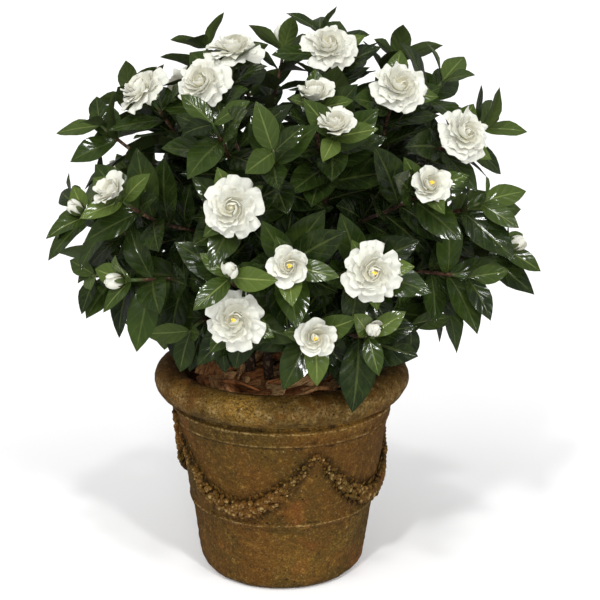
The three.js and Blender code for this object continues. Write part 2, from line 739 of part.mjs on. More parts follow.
/** Two directions square to an axis. */
function squareTo(axis) {
  const side = axis.clone().cross(Math.abs(axis.z) > 0.98 ? new THREE.Vector3(1, 0, 0) : up).normalize();
  return { side, other: axis.clone().cross(side) };
}

/** A furled bud: turned rings with three folds, drawn to a point. */
function bud(frame) {
  const points = [];
  BUD_RINGS.forEach(([radius, height], i) => {
    for (let k = 0; k < BUD_SIDES; k += 1) {
      const turn = (2 * Math.PI * k) / BUD_SIDES + rad(BUD_TWIST) * i;
      const reach = radius * (k % 2 === 0 ? 1 : BUD_FOLD);
      points.push(frame.base.clone().addScaledVector(frame.axis, height)
        .addScaledVector(frame.side, reach * Math.cos(turn)).addScaledVector(frame.other, reach * Math.sin(turn)));
    }
  });
  points.push(frame.base.clone().addScaledVector(frame.axis, BUD_LENGTH));
  const triangles = [];
  const last = (BUD_RINGS.length - 1) * BUD_SIDES;
  for (let k = 0; k < BUD_SIDES; k += 1) {
    const next = (k + 1) % BUD_SIDES;
    for (let i = 0; i < last; i += BUD_SIDES) {
      triangles.push([i + k, i + next, i + next + BUD_SIDES], [i + k, i + next + BUD_SIDES, i + k + BUD_SIDES]);
    }
    triangles.push([last + k, last + next, points.length - 1]);
    if (k > 0 && k < BUD_SIDES - 1) triangles.push([0, next, k]);
  }
  return solidOf(points, triangles);
}

/** A flower or bud standing just off its calyx. */
function flower(tip, index) {
  const frame = { axis: tip.axis, base: tip.end.clone().addScaledVector(tip.axis, GAP), ...squareTo(tip.axis) };
  if (tip.kind === 'bud') return bud(frame);
  return fuse(PETAL_RINGS[tip.kind].map((ring) => petalRing(frame, ring, index)));
}

/** A named mesh of one solid in one finish. */
function piece(name, body, finish) {
  const { numProp, vertProperties, triVerts } = body.getMesh();
  const geometry = new THREE.BufferGeometry();
  const place = new Float32Array((vertProperties.length / numProp) * 3);
  for (let i = 0; i < place.length / 3; i += 1) {
    place.set(vertProperties.subarray(i * numProp, i * numProp + 3), i * 3);
  }
  geometry.setAttribute('position', new THREE.BufferAttribute(place, 3));
  geometry.setIndex(Array.from(triVerts));
  geometry.computeVertexNormals();
  const mesh = new THREE.Mesh(geometry, new THREE.MeshStandardMaterial(finish));
  mesh.name = name;
  return mesh;
}

/** Starts a tip's twig at a place on its cane from which it runs clear, or says that there is none. */
function placeTwig(tip, taken) {
  const others = taken.filter((other) => other.cane !== tip.cane && other.tip !== tip);
  for (const lift of TWIG_LIFTS) {
    tip.lift = lift;
    tip.span = twigCurve(tip).getPoint(0).distanceTo(tip.end);
    tip.nodes = leafNodes(tip);
    tip.rings = twigRings(tip);
    const { body, box } = boxed(twigSolid(tip, [], GAP));
    if (!hits(body, box, others)) {
      taken.push({ ...boxed(twigSolid(tip, [])), cane: tip.cane });
      return true;
    }
  }
  return false;
}

/** The whole potted shrub. */
function build() {
  const group = new THREE.Group();
  group.name = 'potted_gardenia';
  const pot = makePot();
  const mulch = makeMulch();
  group.add(piece('pot', pot, FINISHES.pot));
  group.add(piece('soil', makeSoil(), FINISHES.soil));
  group.add(piece('bark_mulch', mulch, FINISHES.bark));

  const tips = allTips();
  const taken = [boxed(pot), boxed(mulch)];
  const canes = [];
  for (let i = 0; i < CANE_COUNT; i += 1) {
    const { points, radii } = canePath(i, 0);
    canes.push([tube(points, radii, CANE_SIDES)]);
    taken.push({ ...boxed(canes[i][0]), cane: i });
  }
  const flowering = tips.filter((tip) => tip.kind !== 'shoot');
  const flowers = flowering.map(flower);
  flowers.forEach((body, i) => taken.push({ ...boxed(body), tip: flowering[i] }));
  const placed = tips.filter((tip) => placeTwig(tip, taken));
  placed.forEach((tip) => {
    const leaves = twigLeaves(tip, tips.indexOf(tip), taken);
    canes[tip.cane].push(twigSolid(tip, leaves));
  });
  canes.forEach((parts, i) => {
    group.add(piece(`leafy_stem_${i + 1}`, fuse(parts), FINISHES.foliage));
  });
  const counts = { bud: 0, flower: 0 };
  flowers.forEach((body, i) => {
    const kind = flowering[i].kind === 'bud' ? 'bud' : 'flower';
    counts[kind] += 1;
    group.add(piece(`${kind}_${counts[kind]}`, body, FINISHES.petals));
  });
  return group;
}

export default build();
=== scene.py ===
"""Looks of the potted gardenia: leaves, blooms, buds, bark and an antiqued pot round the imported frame.

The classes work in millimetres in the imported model's frame, +Z up and the seen side towards -Y.
The meshes are in metres.
"""

import logging
import math
from dataclasses import dataclass, field
from enum import Enum

import bpy
import numpy as np
from mathutils import Euler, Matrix
from mathutils.bvhtree import BVHTree


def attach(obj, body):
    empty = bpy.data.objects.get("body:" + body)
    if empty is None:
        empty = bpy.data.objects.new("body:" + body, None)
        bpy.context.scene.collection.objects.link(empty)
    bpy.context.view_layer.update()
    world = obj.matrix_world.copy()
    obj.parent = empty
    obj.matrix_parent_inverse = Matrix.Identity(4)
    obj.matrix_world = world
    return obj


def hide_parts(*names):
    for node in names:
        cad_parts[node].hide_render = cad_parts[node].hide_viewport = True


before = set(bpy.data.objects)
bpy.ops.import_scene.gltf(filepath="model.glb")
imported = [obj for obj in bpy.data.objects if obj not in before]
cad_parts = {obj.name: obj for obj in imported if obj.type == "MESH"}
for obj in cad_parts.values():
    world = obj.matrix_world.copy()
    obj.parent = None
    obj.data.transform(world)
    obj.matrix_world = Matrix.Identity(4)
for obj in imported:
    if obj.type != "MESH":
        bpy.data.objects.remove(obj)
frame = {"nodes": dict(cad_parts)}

LOG = logging.getLogger("potted_gardenia")
MM = 0.001
TURN = 2 * math.pi
GOLDEN_TURN = math.pi * (3 - math.sqrt(5))
UP = np.array([0.0, 0.0, 1.0])
RIM_HEIGHT = 236.0
SOIL_TOP = 223.0

Array = np.ndarray
Amount = Array | float
Marks = dict[str, Array]
Pair = tuple[float, float]
Triple = tuple[float, float, float]
Row = tuple[float, ...]
Arrays = tuple[Array, ...]
Material = bpy.types.Material
Socket = bpy.types.NodeSocket
Items = bpy.types.bpy_prop_collection
Value = float | tuple | str | Socket
Inputs = dict[str | int, Value]


class Kind(Enum):
    """What stands at the end of a twig."""

    OPEN = "open"
    HALF = "half"
    BUD = "bud"
    SHOOT = "shoot"


OPEN, HALF, BUD, SHOOT = Kind


# Small mathematics


def unit(vectors: Array) -> Array:
    """The same vectors at length one."""
    return vectors / np.linalg.norm(vectors, axis=-1, keepdims=True)


def square_to(vector: Array, axis: Array) -> Array:
    """The part of a vector that is square to a unit axis, at length one."""
    return unit(vector - axis * np.dot(vector, axis))


def circle(count: int) -> Array:
    """A number of even turns round a circle, in radians."""
    return np.linspace(0, TURN, count, endpoint=False)


def swung(side: Array, other: Array, turn: Amount) -> Array:
    """The directions side cos a + other sin a, for one turn or several."""
    turn = np.asarray(turn)[..., None]
    return side * np.cos(turn) + other * np.sin(turn)


def bezier(corners: Array, share: Array) -> Array:
    """Points of a three-corner curve at shares t from 0 to 1: (1-t)^2 a + 2t(1-t) b + t^2 c."""
    t = np.asarray(share, float)[..., None]
    return (1 - t) ** 2 * corners[0] + 2 * t * (1 - t) * corners[1] + t * t * corners[2]


def ripple(points: Array, wavelength: float, seed: int, waves: int = 7) -> Array:
    """A smooth uneven field from about -1 to 1: the mean of plane sine waves in random directions.

    Args:
        points: where it is read, shape (..., 3).
        wavelength: the usual distance between two crests.
        seed: the seed of the directions and phases.
        waves: how many waves are summed.

    Returns:
        One value per point.
    """
    rng = np.random.default_rng(seed)
    ways = unit(rng.normal(size=(waves, 3))) * (TURN / wavelength) * rng.uniform(0.6, 1.6, (waves, 1))
    phases = rng.uniform(0, TURN, waves)
    return np.sin(points @ ways.T + phases).sum(-1) / math.sqrt(waves)


@dataclass(frozen=True)
class SeededDraw:
    """Numbers that are always the same for the same keys, by the 32-bit hash of the frame's own rule."""

    seed: int = 20461

    def __call__(self, *keys: int) -> float:
        """A number from 0 to 1 for these keys.

        Args:
            keys: whole numbers that say what is drawn.

        Returns:
            The number.
        """
        h = self.seed
        for key in keys:
            h = ((h ^ key) * 0x9E3779B1) & 0xFFFFFFFF
            h ^= h >> 15
        h = (h * 0x85EBCA6B) & 0xFFFFFFFF
        return (h ^ (h >> 13)) / 4294967296

    def between(self, low: float, high: float, *keys: int) -> float:
        """A number from low to high for these keys."""
        return low + (high - low) * self(*keys)


DRAW = SeededDraw()


# Surfaces


def read(items: Items, name: str, width: int, kind: type = np.int32) -> Array:
    """Reads one property of all items of a mesh.

    Args:
        items: the vertices, edges or loops.
        name: the property.
        width: how many numbers it has.
        kind: the type of the numbers.

    Returns:
        The numbers, shape (items, width).
    """
    found = np.empty(width * len(items), kind)
    items.foreach_get(name, found)
    return found.reshape(-1, width)


def grid_quads(index: Array, around: bool = False) -> Array:
    """The quads of a grid of point numbers, facing along (row direction) x (column direction)."""
    index = np.concatenate([index, index[:, :1]], 1) if around else index
    return np.stack([index[:-1, :-1], index[1:, :-1], index[1:, 1:], index[:-1, 1:]], -1).reshape(-1, 4)


def closed_rings(rows: int, sides: int, turned: bool = False) -> Arrays:
    """The faces over rings of points with a pole at each end, the poles numbered after all the rings.

    Args:
        rows: how many rings there are.
        sides: how many points a ring has.
        turned: whether the rings run the other way round, so that their faces are turned.

    Returns:
        The quads and the triangles.
    """
    index = np.arange(rows * sides).reshape(rows, sides)
    first, last, pole = index[0], index[-1], np.full(sides, index.size)
    triangles = np.concatenate([np.stack([first, np.roll(first, -1), pole], 1),
                                np.stack([np.roll(last, -1), last, pole + 1], 1)])
    order = slice(None, None, -1 if turned else 1)
    return grid_quads(index, around=True)[:, order], triangles[:, order]


def copies(faces: Array, size: int, count: int) -> Array:
    """The faces of a shape of so many points, for a count of such shapes one after the other."""
    return (faces[None] + size * np.arange(count)[:, None, None]).reshape(-1, faces.shape[1])


@dataclass
class Surface:
    """Points in millimetres with quads, triangles, marks per point and the side that each quad is on.

    The marks u and v become a UV map, and an edge between two points of the rim is sharp.
    """

    points: Array
    quads: Array
    triangles: Array = field(default_factory=lambda: np.zeros((0, 3), int))
    marks: Marks = field(default_factory=dict)
    back: Array | None = None

    @staticmethod
    def joined(parts: "list[Surface]") -> "Surface":
        """All parts as one surface, with zero where a part lacks a mark.

        Args:
            parts: the surfaces to join.

        Returns:
            One surface with the points of all.
        """
        starts = np.cumsum([0] + [len(part.points) for part in parts])
        faces = (np.concatenate([getattr(part, kind) + start for part, start in zip(parts, starts)])
                 for kind in ("quads", "triangles"))
        names = sorted({name for part in parts for name in part.marks})
        marks = {name: np.concatenate([part.marks.get(name, np.zeros(len(part.points))) for part in parts])
                 for name in names}
        back = [np.zeros(len(part.quads)) if part.back is None else part.back for part in parts]
        return Surface(np.concatenate([part.points for part in parts]), *faces, marks, np.concatenate(back))

    def welded(self, step: float = 1e-3) -> "Surface":
        """The same surface with points on one spot made one point.

        Args:
            step: how close two points have to be, in millimetres.

        Returns:
            The closed surface.
        """
        _, first, turned = np.unique(np.round(self.points / step).astype(np.int64), axis=0,
                                     return_index=True, return_inverse=True)
        turned = turned.reshape(-1)
        return Surface(self.points[first], turned[self.quads], turned[self.triangles],
                       {name: values[first] for name, values in self.marks.items()})

    def shown(self, name: str, finish: Material, slot: str, *replaced: str) -> None:
        """Makes the surface an object at the origin that rides on the frame.

        Args:
            name: the piece's name.
            finish: its material.
            slot: the record's material slot; not used.
            replaced: the CAD nodes that it stands for.
        """
        mesh = bpy.data.meshes.new(name)
        mesh.from_pydata((self.points * MM).tolist(), [], self.quads.tolist() + self.triangles.tolist())
        mesh.polygons.foreach_set("use_smooth", np.ones(len(mesh.polygons), bool))
        marks = dict(self.marks)
        if "u" in marks:
            corner = read(mesh.loops, "vertex_index", 1)[:, 0]
            uv = np.stack([marks.pop("u"), marks.pop("v")], 1)[corner].astype(np.float32)
            mesh.uv_layers.new(name="surface").data.foreach_set("uv", uv.ravel())
        if "rim" in marks:
            rim = marks.pop("rim")[read(mesh.edges, "vertices", 2)]
            mesh.edges.foreach_set("use_edge_sharp", rim.all(1))
        for mark, values in marks.items():
            mesh.attributes.new(mark, "FLOAT", "POINT").data.foreach_set("value", values.astype(np.float32))
        if self.back is not None and self.back.any():
            sides = np.concatenate([self.back, np.zeros(len(self.triangles))]).astype(np.float32)
            mesh.attributes.new("underside", "FLOAT", "FACE").data.foreach_set("value", sides)
        mesh.materials.append(finish)
        mesh.update()
        made = bpy.data.objects.new(name, mesh)
        bpy.context.scene.collection.objects.link(made)
        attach(made, "root")
        if replaced:
            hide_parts(*replaced)
        LOG.info("%s: %d faces", name, len(mesh.polygons))


def sheets(middle: Array, thick: Array, marks: Marks, turned: bool = False) -> Surface:
    """Thin closed sheets: front = middle + thick, back = middle - thick, sharing their outer edge.

    Both sides split their quads along the same diagonal, so that neither shows through the other.

    Args:
        middle: middle surfaces, shape (sheets, rows, columns, 3).
        thick: half the thickness as vectors; it counts as zero along the edges.
        marks: values per sheet, each of shape (sheets,).
        turned: whether the grids run the other way round, so that their faces are turned.

    Returns:
        All the sheets in one surface, with UV across and along each sheet.
    """
    count, rows, columns, _ = middle.shape
    lift = np.zeros_like(middle)
    lift[:, 1:-1, 1:-1] = np.broadcast_to(thick, middle.shape)[:, 1:-1, 1:-1]
    front = np.arange(rows * columns).reshape(rows, columns)
    back = front.copy()
    back[1:-1, 1:-1] = rows * columns + np.arange((rows - 2) * (columns - 2)).reshape(rows - 2, columns - 2)
    quads = np.concatenate([grid_quads(front), grid_quads(back)[:, [2, 1, 0, 3]]])
    quads = quads[:, ::-1] if turned else quads
    v, u = np.meshgrid(np.linspace(0, 1, rows), np.linspace(0, 1, columns), indexing="ij")
    rim = np.ones((rows, columns))
    rim[1:-1, 1:-1] = 0
    points = np.concatenate([(middle + lift).reshape(count, -1, 3),
                             (middle - lift)[:, 1:-1, 1:-1].reshape(count, -1, 3)], 1)
    size = points.shape[1]
    made = {name: np.repeat(values, size) for name, values in marks.items()}
    for name, grid in (("u", u), ("v", v), ("rim", rim)):
        made[name] = np.tile(np.concatenate([grid.ravel(), grid[1:-1, 1:-1].ravel()]), count)
    return Surface(points.reshape(-1, 3), copies(quads, size, count), marks=made,
                   back=np.tile(np.repeat([0.0, 1.0], len(quads) // 2), count))


def tube(path: Array, radii: Array, sides: int, marks: Marks) -> Surface:
    """A round body along a path: centre + r (side cos a + other sin a), closed at both ends by a pole.

    Args:
        path: points of the middle line, shape (n, 3).
        radii: the radius at each point.
        sides: how many points a ring has.
        marks: values per point of the path.

    Returns:
        The closed body, with UV round it and along it in decimetres.
    """
    along = unit(np.gradient(path, axis=0))
    whole = unit(path[-1] - path[0])
    hint = square_to(np.array([0.31, 0.22, 0.92] if abs(whole[2]) < 0.9 else [1.0, 0.1, 0.0]), whole)
    side = unit(hint - along * (along @ hint)[:, None])
    turn = circle(sides)
    ring = side[:, None] * np.cos(turn)[:, None] + np.cross(along, side)[:, None] * np.sin(turn)[:, None]
    points = path[:, None] + ring * np.asarray(radii)[:, None, None]
    length = np.concatenate([[0], np.cumsum(np.linalg.norm(np.diff(path, axis=0), axis=1))])
    made = {name: np.concatenate([np.repeat(values, sides), values[[0, -1]]])
            for name, values in {**marks, "v": length / 100}.items()}
    made["u"] = np.concatenate([np.tile(turn / TURN, len(path)), [0.5, 0.5]])
    return Surface(np.concatenate([points.reshape(-1, 3), path[[0, -1]]]),
                   *closed_rings(len(path), sides, turned=True), made)


def ball(rows: int, sides: int, boxy: float = 1.0) -> Array:
    """Points of a unit ball whose sines and cosines are raised to a power.

    Args:
        rows: steps from pole to pole.
        sides: points of a ring.
        boxy: the power, 1 for a ball and below 1 for a box with round edges.

    Returns:
        The rings from the top down, then the top and the lower pole, shape (points, 3).
    """
    def power(values: Array) -> Array:
        """Keeps the sign and raises the size to the power."""
        return np.sign(values) * np.abs(values) ** boxy

    down, turn = np.linspace(0, math.pi, rows + 1)[1:-1, None], circle(sides)
    rings = np.broadcast_arrays(power(np.sin(down)) * power(np.cos(turn)),
                                power(np.sin(down)) * power(np.sin(turn)), power(np.cos(down)))
    return np.concatenate([np.stack(rings, -1).reshape(-1, 3), [UP, -UP]])


def studs(centres: Array, axes: Array, radii: Array, marks: Marks, rows: int = 6, sides: int = 8,
          boxy: float = 1.0) -> Surface:
    """Round or boxy lumps: centre + axes (radii * unit ball).

    Args:
        centres: the middles, shape (n, 3).
        axes: the three axes of each as rows, shape (n, 3, 3).
        radii: half sizes along the axes, shape (n, 3).
        marks: values per lump.
        rows: steps from pole to pole.
        sides: points of a ring.
        boxy: 1 for a ball, below 1 for a box with round edges.

    Returns:
        All the lumps.
    """
    whole = ball(rows, sides, boxy)
    points = centres[:, None] + np.einsum("nvk,nkc->nvc", whole[None] * radii[:, None], axes)
    count, size = points.shape[:2]
    made = {name: np.repeat(values, size) for name, values in marks.items()}
    made |= {name: np.tile(whole[:, i] * 0.5 + 0.5, count) for i, name in enumerate("uv")}
    quads, triangles = (copies(faces, size, count) for faces in closed_rings(rows - 1, sides))
    return Surface(points.reshape(-1, 3), quads, triangles, made)


# Finishes


def paint(code: str) -> tuple[float, float, float, float]:
    """A colour code such as "7a4630" as linear red, green, blue and alpha."""
    shares = [int(code[i:i + 2], 16) / 255 for i in (0, 2, 4)]
    return (*[s / 12.92 if s <= 0.04045 else ((s + 0.055) / 1.055) ** 2.4 for s in shares], 1.0)


@dataclass(frozen=True)
class Nodes:
    """Adds and links shader nodes in one tree, where a text stands for a colour code."""

    tree: bpy.types.NodeTree

    def put(self, socket: Socket, value: Value) -> None:
        """Links a socket to another, or sets its value.

        Args:
            socket: the socket.
            value: what it gets.
        """
        if isinstance(value, Socket):
            self.tree.links.new(value, socket)
        else:
            socket.default_value = paint(value) if isinstance(value, str) else value

    def add(self, kind: str, inputs: Inputs | None = None, **settings: object) -> bpy.types.Node:
        """Adds one node.

        Args:
            kind: the node's type without its ShaderNode start.
            inputs: what its sockets get, by name or number.
            settings: the node's own properties.

        Returns:
            The node.
        """
        node = self.tree.nodes.new("ShaderNode" + kind)
        for name, value in settings.items():
            setattr(node, name, value)
        for name, value in (inputs or {}).items():
            self.put(node.inputs[name], value)
        return node

    def sum(self, operation: str, *values: Value) -> Socket:
        """One step of arithmetic, such as ADD or MULTIPLY_ADD, on up to three values."""
        return self.add("Math", dict(enumerate(values)), operation=operation).outputs[0]

    def times(self, first: Value, second: Value) -> Socket:
        """The product of two values."""
        return self.sum("MULTIPLY", first, second)

    def blend(self, share: Value, first: Value, second: Value) -> Socket:
        """Goes from the first colour to the second by a share."""
        return self.add("Mix", {0: share, 6: first, 7: second}, data_type="RGBA").outputs[2]

    def layered(self, colour: Value, *layers: tuple[Value, Value]) -> Value:
        """Lays colours over a ground in turn.

        Args:
            colour: the ground.
            layers: the share of each layer and its colour.

        Returns:
            The colour with all the layers on it.
        """
        for share, layer in layers:
            colour = self.blend(share, colour, layer)
        return colour

    def spread(self, value: Value, low: Value, high: Value, start: float = 0.0, end: float = 1.0) -> Socket:
        """Maps low..high smoothly to start..end."""
        return self.add("MapRange", {"Value": value, "From Min": low, "From Max": high, "To Min": start,
                                     "To Max": end}, interpolation_type="SMOOTHSTEP").outputs[0]

    def noise(self, place: Value, scale: Value, detail: float = 4.0, rough: float = 0.55) -> Socket:
        """Cloudy noise from 0 to 1."""
        return self.add("TexNoise", {"Vector": place, "Scale": scale, "Detail": detail,
                                     "Roughness": rough}).outputs[0]

    def cells(self, place: Value, scale: Value) -> Socket:
        """The distance to the nearest of many scattered spots."""
        return self.add("TexVoronoi", {"Vector": place, "Scale": scale}).outputs["Distance"]

    def stretched(self, place: Value, factors: Triple) -> Socket:
        """Coordinates multiplied by three factors."""
        return self.add("Mapping", {"Vector": place, "Scale": factors}).outputs[0]

    def mark(self, name: str) -> Socket:
        """A value that the mesh carries."""
        return self.add("Attribute", attribute_name=name).outputs["Fac"]

    def bump(self, height: Value, depth: float, strength: float = 1.0) -> Socket:
        """A normal from a height of 0 to 1 that is depth millimetres deep."""
        return self.add("Bump", {"Height": height, "Distance": depth * MM, "Strength": strength}).outputs[0]


class Effect:
    """A shader group with named inputs and outputs."""

    def __init__(self, name: str, inputs: dict[str, str], outputs: dict[str, str]) -> None:
        """Makes the empty group.

        Args:
            name: the group's name.
            inputs: socket names and their kinds, Float, Color or Vector.
            outputs: the same for what it puts out.
        """
        self.tree = bpy.data.node_groups.new(name, "ShaderNodeTree")
        for way, sockets in (("INPUT", inputs), ("OUTPUT", outputs)):
            for socket, kind in sockets.items():
                self.tree.interface.new_socket(socket, in_out=way, socket_type="NodeSocket" + kind)
        self.nodes = Nodes(self.tree)
        self.given = self.tree.nodes.new("NodeGroupInput").outputs
        self.result = self.tree.nodes.new("NodeGroupOutput").inputs

    def give(self, values: Inputs) -> "Effect":
        """Sends values out of the group.

        Args:
            values: the values by the names of the outputs.

        Returns:
            The finished effect.
        """
        for name, value in values.items():
            self.nodes.put(self.result[name], value)
        return self

    def placed(self, nodes: Nodes, *values: Value) -> Items:
        """Places the group in a material.

        Args:
            nodes: the material's nodes.
            values: what its inputs get, in their order.

        Returns:
            The outputs of the placed group.
        """
        node = nodes.add("Group", node_tree=self.tree)
        for socket, value in zip(node.inputs, values):
            nodes.put(socket, value)
        return node.outputs


class SharedEffects:
    """The shader groups that several finishes use."""

    def __init__(self) -> None:
        """Makes each group once."""
        self.mottle, self.veins, self.grain = self._mottle(), self._veins(), self._grain()

    @staticmethod
    def _mottle() -> Effect:
        """Uneven patches of a second colour over a first: smoothstep(low, high, noise).

        Returns:
            The effect.
        """
        made = Effect("mottle", {"Vector": "Vector", "Scale": "Float", "Low": "Float", "High": "Float",
                                 "Ground": "Color", "Patch": "Color"}, {"Color": "Color", "Mask": "Float"})
        n, given = made.nodes, made.given
        cloud = n.noise(given["Vector"], given["Scale"], 6.0, 0.62)
        mask = n.spread(cloud, given["Low"], given["High"])
        return made.give({"Mask": mask, "Color": n.blend(mask, given["Ground"], given["Patch"])})

    @staticmethod
    def _veins() -> Effect:
        """Feathered veins on a blade's own UV: side veins where count * v - slope * |2u - 1|^0.8 is whole.

        Returns:
            The effect.
        """
        made = Effect("veins", {"UV": "Vector", "Count": "Float", "Slope": "Float"},
                      {"Rib": "Float", "Vein": "Float", "Swell": "Float"})
        n, given = made.nodes, made.given
        place = n.add("SeparateXYZ", {0: given["UV"]}).outputs
        beside = n.sum("ABSOLUTE", n.sum("MULTIPLY_ADD", place[0], 2.0, -1.0))
        lag = n.times(n.sum("POWER", beside, 0.8), given["Slope"])
        away = n.sum("PINGPONG", n.sum("SUBTRACT", n.times(place[1], given["Count"]), lag), 0.5)
        return made.give({"Rib": n.spread(beside, 0.1, 0.03),
                          "Vein": n.times(n.spread(away, 0.09, 0.0), n.spread(beside, 1.0, 0.72)),
                          "Swell": n.times(n.spread(away, 0.0, 0.4), n.spread(beside, 0.02, 0.25))})

    @staticmethod
    def _grain() -> Effect:
        """A pitted, grainy height: coarse noise and a little fine noise less small round pits.

        Returns:
            The effect.
        """
        made = Effect("grain", {"Vector": "Vector", "Coarse": "Float", "Fine": "Float", "Pits": "Float"},
                      {"Height": "Float", "Pit": "Float"})
        n, given = made.nodes, made.given
        coarse = n.noise(given["Vector"], given["Coarse"], 5.0, 0.5)
        fine = n.noise(given["Vector"], given["Fine"], 3.0, 0.5)
        chance = n.spread(n.noise(given["Vector"], 37.0, 2.0), 0.52, 0.62)
        pit = n.times(n.spread(n.cells(given["Vector"], given["Pits"]), 0.2, 0.08), chance)
        height = n.sum("MULTIPLY_ADD", fine, 0.35, coarse)
        return made.give({"Pit": pit, "Height": n.sum("SUBTRACT", height, pit)})


class Finish:
    """A material whose dress method gives its Principled shader what it needs."""

    name: str
    plain: str

    def __init__(self, shared: SharedEffects) -> None:
        """Makes the material.

        Args:
            shared: the shader groups that it may place.
        """
        self.shared = shared
        self.material = bpy.data.materials.new(self.name)
        self.material.use_nodes = True
        self.material.diffuse_color = paint(self.plain)
        self.nodes = Nodes(self.material.node_tree)
        places = self.nodes.add("TexCoord").outputs
        self.place, self.uv = places["Object"], places["UV"]
        self.dress()

    def dress(self) -> None:
        """Gives the shader its inputs."""
        raise NotImplementedError

    def give(self, inputs: Inputs) -> None:
        """Gives the shader inputs by name."""
        for name, value in inputs.items():
            self.nodes.put(self.material.node_tree.nodes["Principled BSDF"].inputs[name], value)

    def mottle(self, scale: float, low: float, high: float, ground: Value, patch: Value) -> Items:
        """Places the shared patches and gives their outputs."""
        return self.shared.mottle.placed(self.nodes, self.place, scale, low, high, ground, patch)

    def grain(self, coarse: float, fine: float, pits: float) -> Items:
        """Places the shared grain and gives its outputs."""
        return self.shared.grain.placed(self.nodes, self.place, coarse, fine, pits)


class AntiquedStone(Finish):
    """Brown cast stone with ochre dust and rust; hollows dark with patina and painted shade, raised parts
    light with rubbing and a painted highlight.
    """

    name: str = "antiqued_stone"
    plain: str = "543711"
    olive: str = "493611"
    rust: str = "643a14"
    ochre: str = "9c7630"
    # Real dust in the specks, and the colour of the painted highlight on raised parts.
    dust: str = "a68d5c"
    chip: str = "b0a47c"
    # The dark of patina, runs, blots and pits, also used for the painted shade in grooves and beside the
    # garlands.
    hollow_and_shade: str = "1d150a"

    def dress(self) -> None:
        """Reads the marks relief and gilt and the painted shade mark."""
        n, place = self.nodes, self.place
        ground = self.mottle(9.0, 0.42, 0.6, self.plain, self.olive)["Color"]
        ground = self.mottle(14.0, 0.53, 0.72, ground, self.rust)["Color"]
        grain = self.grain(120.0, 700.0, 160.0)
        gilt, relief = n.mark("gilt"), n.mark("relief")
        gold = n.times(n.spread(n.noise(place, 24.0, 5.0), 0.36, 0.6),
                       n.spread(n.noise(place, 460.0, 4.0, 0.7), 0.44, 0.62))
        gold = n.times(gold, n.sum("MULTIPLY_ADD", gilt, 0.8, 0.05))
        # Rubbed wear and painted highlight: lighter where the relief stands out.
        rub_and_highlight = n.times(n.spread(relief, 0.66, 1.0), n.spread(n.noise(place, 330.0, 4.0), 0.38, 0.62))
        # Patina and painted shade where the relief is low, and painted shadow beside the garlands and under
        # the beads.
        dark = n.sum("MAXIMUM", n.spread(relief, 0.42, 0.12), n.times(n.mark("grime"), 0.8))
        dark = n.times(dark, n.spread(n.noise(place, 60.0, 4.0), 0.25, 0.6))
        run = n.noise(n.stretched(place, (1.0, 1.0, 0.25)), 60.0, 8.0, 0.7)
        blots, specks = n.noise(place, 135.0, 6.0, 0.72), n.noise(place, 400.0, 5.0, 0.8)
        chips = n.times(n.spread(n.cells(place, 60.0), 0.08, 0.03),
                        n.spread(n.noise(place, 25.0, 2.0), 0.52, 0.62))
        colour = n.layered(
            ground,
            (n.times(gilt, 0.12), self.ochre),
            (gold, self.ochre),
            (n.times(rub_and_highlight, 0.72), self.dust),
            (n.times(dark, 0.82), self.hollow_and_shade),
            (n.spread(run, 0.56, 0.72, 0.0, 0.4), self.hollow_and_shade),
            (n.spread(blots, 0.47, 0.3, 0.0, 0.62), self.hollow_and_shade),
            (n.spread(blots, 0.53, 0.72, 0.0, 0.42), self.ochre),
            (n.spread(specks, 0.48, 0.34, 0.0, 0.6), self.hollow_and_shade),
            (n.spread(specks, 0.54, 0.7, 0.0, 0.42), self.dust),
            (n.times(chips, 0.7), self.chip),
            (n.times(grain["Pit"], 0.7), self.hollow_and_shade))
        self.give({"Base Color": colour, "Roughness": n.spread(grain["Height"], 0.2, 1.1, 0.95, 0.66),
                   "Specular IOR Level": 0.12, "Normal": n.bump(grain["Height"], 2.2, 0.9)})


class BarkChips(Finish):
    """Reddish bark with ochre faces and dark fibres along each chip, painted darker as shade where the tone
    falls below zero.
    """

    name: str = "bark_chips"
    plain: str = "c07c48"
    ochre: str = "deb078"
    dark: str = "2c160c"

    def dress(self) -> None:
        """Reads the mark tone and the UV of each chip."""
        n, tone = self.nodes, self.nodes.mark("tone")
        # A negative tone paints a chip darker, as shade low in the mulch and on the bed.
        face = n.layered(self.plain, (n.spread(tone, 0.3, 0.95), self.ochre),
                         (n.spread(tone, 0.3, -0.4, 0.0, 0.85), self.dark))
        patch = self.mottle(150.0, 0.48, 0.72, face, n.blend(0.6, face, self.dark))["Color"]
        fibre = n.noise(n.stretched(self.uv, (0.8, 4.5, 1.0)), 3.0, 6.0, 0.7)
        height = n.sum("MULTIPLY_ADD", n.noise(self.place, 320.0, 4.0), 0.6, fibre)
        self.give({"Base Color": n.blend(n.spread(fibre, 0.56, 0.36, 0.0, 0.85), patch, self.dark),
                   "Roughness": n.spread(fibre, 0.3, 0.7, 0.9, 0.62), "Normal": n.bump(height, 1.4)})


class DarkSoil(Finish):
    """Crumbly potting soil."""

    name: str = "dark_soil"
    plain: str = "2a1c12"
    crumb: str = "4a3524"

    def dress(self) -> None:
        """Gives the shader its inputs."""
        n = self.nodes
        crumbs = self.mottle(150.0, 0.4, 0.65, self.plain, self.crumb)
        grain = self.grain(210.0, 800.0, 150.0)
        self.give({"Base Color": crumbs["Color"], "Roughness": n.spread(crumbs["Mask"], 0.0, 1.0, 1.0, 0.8),
                   "Normal": n.bump(grain["Height"], 2.5)})


